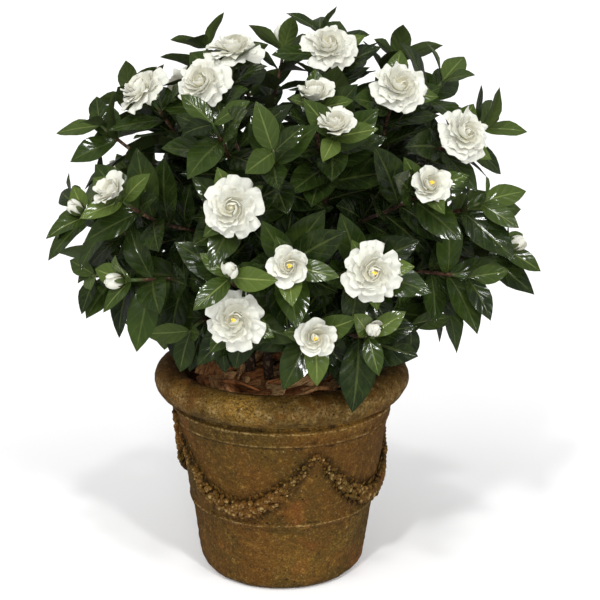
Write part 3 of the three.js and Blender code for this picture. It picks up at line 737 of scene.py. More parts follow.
class StemBark(Finish):
    """Brown stems that turn red-brown and then green towards their tips."""

    name: str = "stem_bark"
    plain: str = "33231a"
    red: str = "48281c"
    green: str = "3f5826"
    fleck: str = "8a7357"
    furrow: str = "1c110b"

    def dress(self) -> None:
        """Reads the mark youth along each stem."""
        n, youth = self.nodes, self.nodes.mark("youth")
        wood = n.layered(self.plain, (n.spread(youth, 0.1, 0.7), self.red),
                         (n.spread(youth, 0.72, 0.95), self.green))
        flecked = self.mottle(260.0, 0.5, 0.7, wood, self.fleck)["Color"]
        furrow = n.noise(n.stretched(self.uv, (9.0, 2.0, 1.0)), 2.5, 5.0)
        self.give({"Base Color": n.blend(n.spread(furrow, 0.5, 0.3, 0.0, 0.6), flecked, self.furrow),
                   "Roughness": n.spread(furrow, 0.3, 0.7, 0.8, 0.55), "Normal": n.bump(furrow, 0.8)})


class GlossyLeaf(Finish):
    """Glossy blades, dark when grown and yellow-green when young, with feathered sunken veins."""

    name: str = "glossy_leaf"
    plain: str = "2b3a14"
    grown_dark: str = "0e1808"
    young_dark: str = "304016"
    young_light: str = "4e5e27"
    rib: str = "8d9a55"
    under: str = "505f30"
    vein_count: float = 7.0
    vein_slope: float = 1.5

    def dress(self) -> None:
        """Reads the marks youth, tone and underside and the UV of each blade."""
        n, place = self.nodes, self.place
        veins = self.shared.veins.placed(n, self.uv, self.vein_count, self.vein_slope)
        tone, youth, under = n.mark("tone"), n.mark("youth"), n.mark("underside")
        # The tone is random per leaf, and darker for leaves inside the shrub as painted shade.
        blade = n.blend(youth, n.blend(tone, self.grown_dark, self.plain),
                        n.blend(tone, self.young_dark, self.young_light))
        cloud = self.mottle(55.0, 0.4, 0.75, blade, n.blend(0.22, blade, self.young_light))["Color"]
        colour = n.layered(
            cloud,
            (n.times(veins["Vein"], n.sum("MULTIPLY_ADD", youth, 0.07, 0.05)), self.rib),
            (n.times(veins["Rib"], n.sum("MULTIPLY_ADD", youth, 0.36, 0.12)), self.rib),
            (n.times(under, 0.6), self.under))
        height = n.sum("MULTIPLY_ADD", n.noise(place, 160.0, 3.0), 0.6, veins["Swell"])
        height = n.sum("MULTIPLY_ADD", veins["Rib"], -0.8, height)
        gloss = n.spread(n.noise(place, 30.0, 3.0), 0.3, 0.7, 0.1, 0.24)
        self.give({"Base Color": colour, "Roughness": n.sum("MULTIPLY_ADD", under, 0.3, gloss),
                   "Specular IOR Level": 0.5, "Normal": n.bump(height, 0.28)})


class SatinPetal(Finish):
    """White petals, creamy towards the heart of a bloom, with faint lengthwise veins, painted shade at their
    bases and a faint painted glow.
    """

    name: str = "satin_petal"
    plain: str = "d6d5c9"
    cream: str = "e1dbbf"
    # Greyish green painted at the petal bases as shade deep in the bloom, and in faint random patches.
    shade: str = "cbd0bb"
    # A faint painted glow: the petals emit light, cream towards the heart.
    painted_glow: str = "8c8c80"

    def dress(self) -> None:
        """Reads the mark heart and the UV of each petal."""
        n, place, heart = self.nodes, self.place, self.nodes.mark("heart")
        along = n.add("SeparateXYZ", {0: self.uv}).outputs[1]
        colour = n.layered(self.plain, (n.times(heart, n.spread(along, 1.0, 0.25)), self.cream),
                           # Painted shade at the petal bases.
                           (n.spread(along, 0.3, 0.0, 0.0, 0.55), self.shade))
        cloud = self.mottle(120.0, 0.45, 0.8, colour, n.blend(0.25, colour, self.shade))["Color"]
        fold = n.noise(n.stretched(self.uv, (26.0, 1.6, 1.0)), 1.0, 3.0)
        height = n.sum("MULTIPLY_ADD", n.noise(place, 500.0, 3.0), 0.4, fold)
        self.give({"Base Color": cloud, "Roughness": n.spread(fold, 0.3, 0.7, 0.5, 0.62),
                   "Subsurface Weight": 0.25, "Subsurface Radius": (0.6, 0.5, 0.35),
                   "Subsurface Scale": 0.006, "Specular IOR Level": 0.3, "Normal": n.bump(height, 0.35),
                   # Painted glow lifts the shaded parts of the petals.
                   "Emission Strength": 0.09, "Emission Color": n.blend(heart, self.painted_glow, self.cream)})


class PollenYellow(Finish):
    """The small yellow heart of a bloom, with a faint painted glow."""

    name: str = "pollen_yellow"
    plain: str = "ffe45c"
    deep: str = "f7c433"

    def dress(self) -> None:
        """Gives the shader its inputs."""
        n, place = self.nodes, self.place
        dust = self.mottle(700.0, 0.4, 0.6, self.plain, self.deep)
        self.give({"Base Color": dust["Color"], "Roughness": n.spread(dust["Mask"], 0.0, 1.0, 0.7, 0.9),
                   # A faint painted glow, as light in the bloom's hollow.
                   "Normal": n.bump(n.noise(place, 900.0), 0.3), "Emission Strength": 0.12,
                   "Emission Color": dust["Color"]})


class StudioFloor(Finish):
    """Plain pale floor."""

    name: str = "studio_floor"
    plain: str = "fdfdfd"
    shade: str = "fafafa"

    def dress(self) -> None:
        """Gives the shader its inputs."""
        cloud = self.nodes.noise(self.place, 0.4, 1.0)
        self.give({"Base Color": self.nodes.blend(cloud, self.plain, self.shade), "Roughness": 0.9})


# The shrub's rule

FLOWERS: list[tuple[Kind, Triple, float, float]] = [
    (OPEN, (-154, -42, 583), -60, 50),
    (OPEN, (-83, -102, 599), -25, 35),
    (OPEN, (-50, -56, 630), 175, 62),
    (OPEN, (54, -54, 631), 5, 48),
    (HALF, (38, -141, 591), 0, 62),
    (HALF, (59, -170, 560), 8, 36),
    (OPEN, (129, -95, 593), 15, 34),
    (OPEN, (200, -91, 541), 32, 28),
    (HALF, (-178, -135, 488), -48, 45),
    (OPEN, (-48, -209, 486), -8, 16),
    (HALF, (156, -168, 500), 14, 30),
    (HALF, (11, -225, 429), 0, 14),
    (OPEN, (96, -212, 418), 12, 10),
    (OPEN, (-46, -211, 367), -8, 14),
    (HALF, (37, -209, 348), 5, 6),
    (BUD, (-227, -73, 455), -62, 40),
    (BUD, (-177, -147, 392), -66, 6),
    (BUD, (-50, -222, 425), 0, 42),
    (BUD, (99, -200, 353), 20, 32),
    (BUD, (268, -33, 405), 72, 24),
    (OPEN, (-118, 146, 562), -140, 36),
    (OPEN, (62, 176, 545), 162, 34),
    (HALF, (176, 122, 505), 122, 30),
    (OPEN, (-66, 216, 428), -166, 14),
    (OPEN, (142, 182, 402), 142, 12),
    (HALF, (-200, 118, 452), -118, 20),
    (HALF, (22, 212, 350), 178, 8),
    (BUD, (-142, 176, 345), -140, 10),
    (BUD, (232, 88, 420), 110, 25),
    (BUD, (2, 108, 622), 178, 58),
]


@dataclass
class TwigLine:
    """The jointed line of one twig from its cane to its tip."""

    corners: Array
    span: float
    nodes: list[tuple[float, bool]]
    places: Array
    sides: Array
    others: Array
    radii: Array

    def ring(self, number: int) -> Array:
        """The three points of one ring: place + r (side cos a + other sin a)."""
        ways = swung(self.sides[number], self.others[number], circle(3))
        return self.places[number] + self.radii[number] * ways


@dataclass
class Tip:
    """The end of one twig: a flower's seat or a leafy point."""

    kind: Kind
    axis: Array
    end: Array
    number: int
    cane: int = 0
    line: TwigLine | None = None


@dataclass
class Leaf:
    """One blade: where it starts, how it lies, its size and its colour."""

    root: Array
    direction: Array
    upper: Array
    across: Array
    length: float
    width: float
    arch: float
    bend: float
    fold: float
    youth: float
    tone: float
    wave: float
    sound: bool
    cane: int = 0
    droop: float = 0.05
    most_turn: float = 0.95
    behind: float = 40.0

    def face_out(self, share: float, sway: float) -> None:
        """Rolls the blade about its midrib towards where its upper side shows from the front or the back.

        Args:
            share: 0 to 1, how much of the way it turns.
            sway: 0 to 1, an uneven turn to one side or the other.
        """
        view = np.array([0.0, -1.0 if self.root[1] < self.behind else 1.0, 0.3])
        angle = math.atan2(view @ self.across, view @ self.upper)
        angle = max(-self.most_turn, min(self.most_turn, angle)) * (0.5 + 0.4 * share) + 0.5 * (sway - 0.5)
        upper, across = self.upper, self.across
        self.upper, self.across = swung(upper, across, angle), swung(across, -upper, angle)
        self.arch += self.droop

    def tip_point(self) -> Array:
        """Where the blade ends: root + length (direction - arch upper + bend across)."""
        return (self.root + self.direction * self.length - self.upper * self.arch * self.length
                + self.across * self.bend * self.length)


@dataclass
class Shrub:
    """The rule that places canes, twigs and leaves, and finds which of its tries stand in the frame."""

    centre: Triple = (12.0, 0.0, 425.0)
    reach: Triple = (255.0, 225.0, 215.0)
    drop: float = 140.0
    cane_count: int = 8
    cane_circle: float = 38.0
    cane_foot: float = 165.0
    cane_bend: tuple[Pair, Pair] = ((58.0, 368.0), (118.0, 508.0))
    cane_radii: Pair = (5.6, 2.9)
    twig_radii: Pair = (2.3, 1.8)
    root_share: float = 0.3
    root_climb: float = 0.66
    root_low: float = 300.0
    root_span: float = 320.0
    root_limits: Pair = (0.24, 0.97)
    twig_hold: float = 0.42
    shoot_node: float = 5.0
    flower_node: float = 11.0
    node_half: float = 2.0
    node_spacing: float = 29.0
    node_slots: int = 3
    least_inner: float = 22.0
    calyx_length: float = 7.0
    shoot_point: float = 0.9
    shoot_grid: int = 150
    shoot_spacing: float = 69.0
    lowest_shoot: float = -56.0
    young_leaf: Pair = (42.0, 56.0)
    grown_leaf: Pair = (58.0, 80.0)
    young_spread: float = 56.0
    grown_spread: float = 64.0
    leaf_width: Pair = (0.43, 0.49)
    leaf_arch: Pair = (0.08, 0.3)
    leaf_bend: Pair = (-0.1, 0.1)
    leaf_fold: Pair = (0.12, 0.34)
    leaf_tries: int = 16
    fuller: float = 1.05
    match_gap: float = 0.03
    least_match: float = 0.6
    roll_keys: tuple[int, int] = (91, 92)
    lifts: Row = (0, 0.07, -0.07, 0.14, -0.14, 0.21, -0.21, 0.28)
    depths: dict[Kind, float] = field(default_factory=lambda: {OPEN: 13.0, HALF: 12.0, BUD: 11.0})
    tips: list[Tip] = field(default_factory=list)
    leaves: list[Leaf] = field(default_factory=list)

    def cane_corners(self, cane: int) -> Array:
        """The three corners of a cane's curve above the soil.

        Args:
            cane: the cane's number.

        Returns:
            The corners, shape (3, 3).
        """
        turn = TURN * (cane + 0.5) / self.cane_count
        rings = [(self.cane_circle, RIM_HEIGHT, 0.0), (*self.cane_bend[0], self.centre[0] / 3),
                 (*self.cane_bend[1], self.centre[0])]
        return np.array([[r * math.sin(turn) + shift, -r * math.cos(turn), z] for r, z, shift in rings])

    def place_tips(self) -> None:
        """Lists every tip: the flowers, then shoots on an even spiral grid where there is room."""
        for number, (kind, middle, azimuth, elevation) in enumerate(FLOWERS):
            a, e = math.radians(azimuth), math.radians(elevation)
            axis = np.array([math.sin(a) * math.cos(e), -math.cos(a) * math.cos(e), math.sin(e)])
            self.tips.append(Tip(kind, axis, np.array(middle, float) - axis * self.depths[kind], number))
        for i in range(self.shoot_grid):
            height = 1 - 2 * (i + 0.5) / self.shoot_grid
            ring = math.sqrt(1 - height * height)
            out = np.array([ring * math.sin(GOLDEN_TURN * i), -ring * math.cos(GOLDEN_TURN * i), height])
            end = np.array(self.centre) + out * [*self.reach[:2], self.reach[2] if height > 0 else self.drop]
            clear = all(np.linalg.norm(tip.end - end) > self.shoot_spacing for tip in self.tips)
            if height > math.sin(math.radians(self.lowest_shoot)) and clear:
                self.tips.append(Tip(SHOOT, unit(out + 0.25 * UP), end, len(self.tips)))
        for tip in self.tips:
            turn = math.atan2(tip.end[0] - self.centre[0], -tip.end[1]) / TURN
            tip.cane = math.floor((turn + 1) * self.cane_count) % self.cane_count

    def twig_line(self, tip: Tip, lift: float) -> TwigLine:
        """Works out a tip's twig when it starts at a lifted place on its cane.

        Args:
            tip: the tip.
            lift: how much further along the cane it starts.

        Returns:
            The jointed line.
        """
        climb = self.root_climb * (tip.end[2] - self.root_low) / self.root_span
        share = np.clip(self.root_share + climb + lift, *self.root_limits)
        start = bezier(self.cane_corners(tip.cane), np.array(share))
        span = float(np.linalg.norm(start - tip.end))
        corners = np.stack([start, tip.end - tip.axis * self.twig_hold * span, tip.end])
        first = self.shoot_node if tip.kind is SHOOT else self.flower_node
        nodes = [(back, young) for back, young in ((first, True), (first + self.node_spacing, False))
                 if back < span - self.least_inner]
        backs = [span, (span + nodes[-1][0] + self.node_half) / 2]
        for back, _ in reversed(nodes):
            backs += [back + self.node_half, back - self.node_half]
        backs += [0.0] if tip.kind is SHOOT else [self.calyx_length, 0.0]
        shares = 1 - np.array(backs) / span
        places = bezier(corners, shares)
        side = np.array([0.3, 0.2, 1.0])
        alongs, sides = np.zeros_like(places), np.zeros_like(places)
        last = len(places) - 1
        for i in range(last + 1):
            alongs[i] = unit(places[min(i + 1, last)] - places[max(i - 1, 0)])
            side = sides[i] = square_to(side, alongs[i])
        radii = self.twig_radii[0] + (self.twig_radii[1] - self.twig_radii[0]) * shares
        return TwigLine(corners, span, nodes, places, sides, np.cross(alongs, sides), radii)

    def leaf_at(self, root: Array, axes: Arrays, middle: float, young: bool,
                keys: tuple[int, int, int, int], facing: Triple = (0.7, 0.5, 0.45),
                frontal: float = 0.0) -> Leaf:
        """Works out one try at a leaf.

        Args:
            root: the middle of the twig where the leaf starts.
            axes: the twig's direction there and two directions square to it.
            middle: the turn about the twig, in radians.
            young: whether it is a young leaf.
            keys: the keys of its draws, the last being the try.
            facing: how much its upper side turns along the twig, up, and out of the shrub.
            frontal: how much less it turns to the shrub's sides than to its front and back.

        Returns:
            The leaf.
        """
        along, side, other = axes
        turn = middle + DRAW.between(-0.5, 0.5, *keys, 1)
        spread = math.radians(self.young_spread if young else self.grown_spread)
        spread += DRAW.between(-0.35, 0.35, *keys, 2)
        outward = unit(root - np.array(self.centre))
        ray = swung(side, other, turn)
        direction = unit(ray * math.sin(spread) + along * math.cos(spread) + 0.25 * outward)
        shown = unit(outward * np.array([1 - frontal, 1 + frontal, 1]))
        upper = square_to(facing[0] * along + facing[1] * UP + facing[2] * shown, direction)
        sizes = self.young_leaf if young else self.grown_leaf
        length = DRAW.between(*sizes, *keys, 3) * (1 - 0.015 * keys[3])
        straight = swung(side, other, middle)
        return Leaf(
            root, direction, upper, np.cross(direction, upper), length,
            width=length * DRAW.between(*self.leaf_width, *keys, 4),
            arch=DRAW.between(*self.leaf_arch, *keys, 5), bend=DRAW.between(*self.leaf_bend, *keys, 6),
            fold=DRAW.between(*self.leaf_fold, *keys, 7),
            youth=0.0, tone=DRAW(*keys, 8), wave=DRAW(*keys, 9) * TURN,
            sound=direction @ straight > 0.3 and upper @ along > 0.15)

    def node_tries(self, tip: Tip, node: int, slot: int) -> list[Leaf]:
        """The tries at one leaf of a twig's node, as the frame's own rule makes them.

        Args:
            tip: the tip of the twig.
            node: the node's number from the tip.
            slot: the leaf's number at the node.

        Returns:
            One leaf per try.
        """
        line = tip.line
        ring = 2 + 2 * (len(line.nodes) - 1 - node)
        root = (line.places[ring] + line.places[ring + 1]) / 2
        axes = (unit(line.places[ring + 1] - line.places[ring]), line.sides[ring], line.others[ring])
        middle = TURN * ((slot + node) % self.node_slots + 0.5) / self.node_slots
        return [self.leaf_at(root, axes, middle, line.nodes[node][1], (tip.number, node, slot, attempt))
                for attempt in range(self.leaf_tries)]

    def read_frame(self, nodes: dict[str, bpy.types.Object]) -> None:
        """Finds the twigs and leaves that stand in the frame's leafy stems, by their corner points.

        Args:
            nodes: the frame's nodes by name.
        """
        clouds = []
        for cane in range(self.cane_count):
            corners = read(nodes[f"leafy_stem_{cane + 1}"].data.vertices, "co", 3, float)
            clouds.append(np.unique(np.round(corners / MM, 4), axis=0))

        def found(points: Array, cane: int) -> Array:
            """Whether each point is a corner of that cane's node."""
            return np.linalg.norm(points[:, None] - clouds[cane][None], axis=2).min(1) < self.match_gap

        for tip in self.tips:
            best = (self.least_match, None)
            for lift in self.lifts:
                line = self.twig_line(tip, lift)
                rings = np.concatenate([line.ring(i) for i in range(2, len(line.places) - 1)])
                best = max(best, (float(found(rings, tip.cane).mean()), line), key=lambda pair: pair[0])
            tip.line = best[1]
            for node, slot in np.ndindex(len(tip.line.nodes), self.node_slots):
                tries = self.node_tries(tip, node, slot)
                hits = found(np.stack([leaf.tip_point() for leaf in tries]), tip.cane)
                kept = next((leaf for leaf, hit in zip(tries, hits) if hit and leaf.sound), None)
                if kept:
                    if tip.line.nodes[node][1]:
                        kept.youth = 0.5 * kept.tone if tip.kind is SHOOT else 0.7 + 0.3 * kept.tone
                    kept.cane = tip.cane
                    kept.width *= self.fuller
                    kept.face_out(*(DRAW(tip.number, node, slot, key) for key in self.roll_keys))
                    self.leaves.append(kept)
        LOG.info("rule: %d tips, %d leaves found in the frame", len(self.tips), len(self.leaves))


# Sub-assemblies


@dataclass
class Blades:
    """Leaf blades as thin waved sheets on the rule's centre lines and outlines."""

    rows: Row = (0.0, 0.05, 0.12, 0.22, 0.35, 0.49, 0.63, 0.76, 0.88, 0.96, 1.0)
    columns: int = 5
    half_thick: float = 0.35
    stalk: float = 0.9
    stalk_share: float = 0.04
    waves: float = 1.4
    wave_height: float = 0.028

    def middle(self, leaves: list[Leaf], rows: Array, columns: int) -> Arrays:
        """Middle surfaces: root + direction L s + upper (fold |x| - arch L s^2 + wave)
        + across (x + bend L s^2).

        The half width is w/2 sin(pi s)^(0.6 + 0.34 s), never under the stalk's.

        Args:
            leaves: the leaves.
            rows: shares of the length.
            columns: points across the blade.

        Returns:
            The points, shape (leaves, rows, columns, 3), and the upward direction of each leaf.
        """
        def stack(name: str) -> Array:
            """One value of all leaves, ready for the grid."""
            return np.array([getattr(leaf, name) for leaf in leaves])[:, None, None]

        s, t = rows[None, :, None], np.linspace(-1, 1, columns)[None, None]
        length, upper = stack("length"), stack("upper")
        x = np.clip((s - self.stalk_share) / (1 - self.stalk_share), 0, 1)
        half = np.maximum(stack("width") / 2 * np.sin(math.pi * x) ** (0.6 + 0.34 * x),
                          self.stalk * (1 - 0.75 * s))
        right = half * t
        square = length * s * s
        wave = np.sin(TURN * self.waves * s + stack("wave") + 0.9 * np.sign(t)) * np.abs(t) ** 1.6
        above = stack("fold") * np.abs(right) * (1.1 - 0.25 * t * t) - stack("arch") * square
        above = above + self.wave_height * length * wave * np.clip(4 * x * (1 - x), 0, 1)
        place = stack("root") + stack("direction") * (length * s)[..., None]
        place = place + upper * above[..., None]
        place = place + stack("across") * (right + stack("bend") * square)[..., None]
        return place, upper

    def surface(self, leaves: list[Leaf]) -> Surface:
        """All the blades as closed sheets.

        Args:
            leaves: the leaves.

        Returns:
            The blades with the marks youth and tone.
        """
        marks = {name: np.array([getattr(leaf, name) for leaf in leaves]) for name in ("youth", "tone")}
        middle, upper = self.middle(leaves, np.array(self.rows), self.columns)
        return sheets(middle, upper * self.half_thick, marks, turned=True)


@dataclass
class Room:
    """What is already grown, so that new leaves stay clear of it."""

    trees: list[BVHTree] = field(default_factory=list)
    lows: list[Array] = field(default_factory=list)
    highs: list[Array] = field(default_factory=list)

    def takes(self, points: Array, faces: Array, sure: bool = False) -> bool:
        """Takes a surface as grown when it touches nothing that is.

        Args:
            points: its points.
            faces: its faces.
            sure: whether it is taken in any case.

        Returns:
            Whether it was taken.
        """
        tree, low, high = BVHTree.FromPolygons(points.tolist(), faces.tolist()), points.min(0), points.max(0)
        if not sure:
            near = (np.array(self.highs) > low).all(1) & (np.array(self.lows) < high).all(1)
            if any(tree.overlap(self.trees[i]) for i in np.flatnonzero(near)):
                return False
        self.trees.append(tree)
        self.lows.append(low)
        self.highs.append(high)
        return True


@dataclass
class Seat:
    """Where a further whorl of leaves stands: at a share of the curve of a twig or a cane."""

    corners: Array
    share: float
    keys: tuple[int, int]
    cane: int

    def __post_init__(self) -> None:
        """Finds the root of the whorl and the directions along and square to the curve there."""
        pair = bezier(self.corners, np.array([self.share - 0.01, self.share + 0.01]))
        along = unit(pair[1] - pair[0])
        side = square_to(np.array([0.3, 0.2, 1.0]), along)
        self.root, self.axes = pair.mean(0), (along, side, np.cross(along, side))


@dataclass
class Foliage:
    """The leaves of all canes, those of the frame and the ones that fill the shrub."""

    shrub: Shrub
    finish: Material
    blades: Blades = field(default_factory=Blades)
    room: Room = field(default_factory=Room)
    rows: Row = (0.1, 0.3, 0.5, 0.7, 0.9, 1.0)
    columns: int = 3
    whorl_gap: float = 24.0
    tries: int = 7
    fuller: float = 1.14
    facing: Triple = (0.3, 0.45, 0.9)
    frontal: float = 0.55
    rim_gap: float = 8.0
    bare_end: float = 6.0
    cane_shares: Triple = (0.3, 1.0, 0.1)
    inner_shade: float = 0.7
    shade_depth: float = 0.3
    shade_fade: float = 0.5
    whorl_key: int = 20
    cane_key: int = 900

    def fill(self) -> None:
        """Adds whorls of grown leaves further in on the twigs and up the canes, each clear of all others,
        with a darker tone as painted shade inside the shrub.
        """
        shrub, rows = self.shrub, np.array(self.rows)
        faces = grid_quads(np.arange(len(rows) * self.columns).reshape(len(rows), self.columns))
        for points in self.blades.middle(shrub.leaves, rows, self.columns)[0]:
            self.room.takes(points.reshape(-1, 3), faces, sure=True)
        for name, node in frame["nodes"].items():
            if name.startswith(("flower", "bud", "pot")):
                self.room.takes(read(node.data.vertices, "co", 3, float) / MM,
                                read(node.data.loops, "vertex_index", 1).reshape(-1, 3), sure=True)
        grown = len(shrub.leaves)
        for seat, slot in ((seat, slot) for seat in self._seats() for slot in range(shrub.node_slots)):
            turn = TURN * (slot + DRAW(*seat.keys)) / shrub.node_slots
            for attempt in range(self.tries):
                leaf = shrub.leaf_at(seat.root, seat.axes, turn, False, (*seat.keys, slot, attempt),
                                     self.facing, self.frontal)
                leaf.width *= self.fuller
                points = self.blades.middle([leaf], rows, self.columns)[0].reshape(-1, 3)
                above = points[:, 2].min() > RIM_HEIGHT + self.rim_gap
                if above and self.room.takes(points, faces):
                    # Painted shade: the deeper a leaf lies in the shrub, the darker its tone.
                    depth = np.linalg.norm((seat.root - shrub.centre) / np.array(shrub.reach))
                    light = float(np.clip((depth - self.shade_depth) / self.shade_fade, 0, 1))
                    leaf.tone *= self.inner_shade * light
                    leaf.cane = seat.cane
                    shrub.leaves.append(leaf)
                    break
        LOG.info("filling: %d leaves added", len(shrub.leaves) - grown)

    def _seats(self) -> list[Seat]:
        """The seats further in on each twig, then those up the canes.

        Returns:
            The seats.
        """
        seats = []
        for tip in self.shrub.tips:
            span = tip.line.span
            back = tip.line.nodes[-1][0] + self.whorl_gap
            while back < span - self.bare_end:
                keys = (tip.number, self.whorl_key + int(back))
                seats.append(Seat(tip.line.corners, 1 - back / span, keys, tip.cane))
                back += self.whorl_gap
        return seats + [
            Seat(self.shrub.cane_corners(cane), share, (self.cane_key + cane, int(100 * share)), cane)
            for cane in range(self.shrub.cane_count) for share in np.arange(*self.cane_shares)]

    def build(self) -> None:
        """Makes one piece of leaves and calyxes for each cane, standing for its leafy stem."""
        self.fill()
        for cane in range(self.shrub.cane_count):
            parts = [self.blades.surface([leaf for leaf in self.shrub.leaves if leaf.cane == cane])]
            for tip in self.shrub.tips:
                if tip.cane == cane and tip.kind is not SHOOT:
                    parts += Calyx(tip).surfaces()
            Surface.joined(parts).shown(f"leaves_{cane + 1}", self.finish, "foliage",
                                        f"leafy_stem_{cane + 1}")


@dataclass
class Calyx:
    """The green calyx under a flower or bud: a cup with pointed sepals.

    A kind of sepal is its length, its half width and the angles at which it starts and ends.
    """

    tip: Tip
    count: int = 6
    rows: int = 7
    columns: int = 5
    key: int = 77
    bud_sepal: Row = (15.0, 3.2, 30.0, 114.0)
    flower_sepal: Row = (14.0, 2.0, -5.0, 35.0)
    cup_places: Row = (-7.5, -6, -4, -1.8, 0.2, 0.9)
    cup_radii: Row = (1.7, 2.1, 3.2, 4.1, 4.3, 3.0)

    def surfaces(self) -> list[Surface]:
        """Sepals: a spine of constant bend from the cup outwards, half width w (1 - s)^0.7 (1 + 2 s) / 1.4.

        Returns:
            The sepals and the cup.
        """
        tip, flower = self.tip, FlowerFrame(self.tip)
        s = np.linspace(0, 1, self.rows)[None, :, None]
        t = np.linspace(-1, 1, self.columns)[None, None]
        long, wide, start, end = self.bud_sepal if tip.kind is BUD else self.flower_sepal
        draws = np.array([DRAW(tip.number, self.key, k) for k in range(self.count)])
        turn = TURN * (np.arange(self.count) + 0.25 * draws) / self.count
        long = (long * (0.8 + 0.35 * draws))[:, None, None]
        spine, normal, level = flower.arc(turn, long * s, np.radians(start), np.radians(end), long, 3.6, 0.2)
        half = wide * (1.02 - s) ** 0.7 * (1 + 2 * s) / 1.4 + 0.15
        middle = spine + level * (half * t)[..., None] + normal * (0.12 * half * t * t)[..., None]
        marks = {"youth": np.full(self.count, 0.7), "tone": np.full(self.count, 0.5)}
        leafy = sheets(middle, normal * 0.3, marks)
        rings = len(self.cup_radii)
        young = {"youth": np.full(rings, 0.8), "tone": np.full(rings, 0.4)}
        cup = tip.end + tip.axis * np.array(self.cup_places)[:, None]
        return [leafy, tube(cup, np.array(self.cup_radii), 10, young)]


@dataclass
class Stems:
    """The canes in the soil and the twigs that leave them."""

    shrub: Shrub
    finish: Material
    cane_rows: int = 26
    twig_rows: int = 12
    cane_sides: int = 12
    twig_sides: int = 8
    foot_middle: float = 200.0
    knots: float = 0.07
    knot_length: float = 26.0
    cane_youth: float = 0.35
    node_swell: float = 0.5
    node_reach: float = 4.0
    green_length: float = 75.0

    def build(self) -> None:
        """Makes one piece of wood for each cane with its twigs."""
        for cane in range(self.shrub.cane_count):
            parts = [self._cane(cane)] + [self._twig(tip) for tip in self.shrub.tips if tip.cane == cane]
            Surface.joined(parts).shown(f"stems_{cane + 1}", self.finish, "bark")

    def _cane(self, cane: int) -> Surface:
        """One cane from its foot in the soil to its end, a little knotty.

        Args:
            cane: the cane's number.

        Returns:
            The cane.
        """
        corners = self.shrub.cane_corners(cane)
        share = np.linspace(0, 1, self.cane_rows)[1:]
        heights = (self.shrub.cane_foot, self.foot_middle, SOIL_TOP)
        foot = [corners[0] * [1, 1, 0] + UP * z for z in heights]
        path = np.concatenate([foot, bezier(corners, share)])
        share = np.concatenate([[0, 0, 0], share])
        low, high = self.shrub.cane_radii
        radii = (low + (high - low) * share) * (1 + self.knots * ripple(path, self.knot_length, cane))
        return tube(path, radii, self.cane_sides, {"youth": self.cane_youth * share})

    def _twig(self, tip: Tip) -> Surface:
        """One twig, swelling at its leaf nodes by a bell.

        Args:
            tip: the tip that it ends in.

        Returns:
            The twig.
        """
        share = np.linspace(0, 1, self.twig_rows)
        low, high = self.shrub.twig_radii
        backs = (1 - share) * tip.line.span
        radii = low + (high - low) * share
        for back, _ in tip.line.nodes:
            radii = radii + self.node_swell * np.exp(-((backs - back) / self.node_reach) ** 2)
        if tip.kind is SHOOT:
            radii[-1] = self.shrub.shoot_point
        return tube(bezier(tip.line.corners, share), radii, self.twig_sides,
                    {"youth": np.clip(1.15 - backs / self.green_length, 0.25, 1)})


@dataclass
class FlowerFrame:
    """The seat of one flower, a little off its calyx, and its axes.

    A flower that faces up and back nods a little forwards, and a high half-open one lifts its head.
    """

    tip: Tip
    gap: float = 0.3
    back: float = 0.3
    high: float = 0.86
    nod: float = 0.75
    lift: float = 0.9
    lift_height: float = 540.0

    def __post_init__(self) -> None:
        """Works out the seat and the axes."""
        axis = self.tip.axis
        if axis[1] > self.back and axis[2] > self.high:
            axis = unit(axis + np.array([0, -self.nod, 0]))
        if self.tip.kind is HALF and self.tip.end[2] > self.lift_height:
            axis = unit(axis + self.lift * UP)
        self.axis, self.base = axis, self.tip.end + axis * self.gap
        self.side = unit(np.cross(axis, np.array([1.0, 0, 0]) if abs(axis[2]) > 0.98 else UP))
        self.other = np.cross(axis, self.side)

    def arc(self, turn: Array, run: Array, start: Amount, end: Amount, length: Array, hub: float,
            height: Amount, twist: float = 0.0) -> Arrays:
        """Spines that rise from one angle to another at constant bend.

        With q = start + (end - start) run / length and d = (end - start) / length, the distance out is
        hub + (sin q - sin start) / d and the height is height - (cos q - cos start) / d.

        Args:
            turn: the turn of each spine about the axis, in radians, shape (n,).
            run: distance along the spine, shape (n, rows, columns) or able to become it.
            start: angle above the flat at the hub.
            end: angle above the flat at the tip.
            length: the length of each spine.
            hub: where it starts, out from the axis.
            height: where it starts, up the axis.
            twist: how much the cross direction is turned about the spine.

        Returns:
            Points, inner normals and cross directions, all of shape (n, rows, columns, 3).
        """
        start, end = (np.reshape(angle, (-1, 1, 1)) for angle in (start, end))
        rate = (end - start) / length
        angle = start + rate * run
        out = hub + (np.sin(angle) - np.sin(start)) / rate
        up = height - (np.cos(angle) - np.cos(start)) / rate
        ray = swung(self.side, self.other, turn)[:, None, None]
        level = np.cross(self.axis, ray)
        place = self.base + ray * out[..., None] + self.axis * up[..., None]
        normal = self.axis * np.cos(angle)[..., None] - ray * np.sin(angle)[..., None]
        across = level * math.cos(twist) + normal * math.sin(twist)
        return place, normal * math.cos(twist) - level * math.sin(twist), across


@dataclass(frozen=True)
class PetalRing:
    """One ring of petals: how many, their size in millimetres, and how they rise and cup."""

    count: int
    length: float
    half: float
    rise: float
    tip_rise: float
    hub: float
    height: float
    cup: float
    ruffle: float
    heart: float
    twist: float
    key: int
    point: float = 0.0


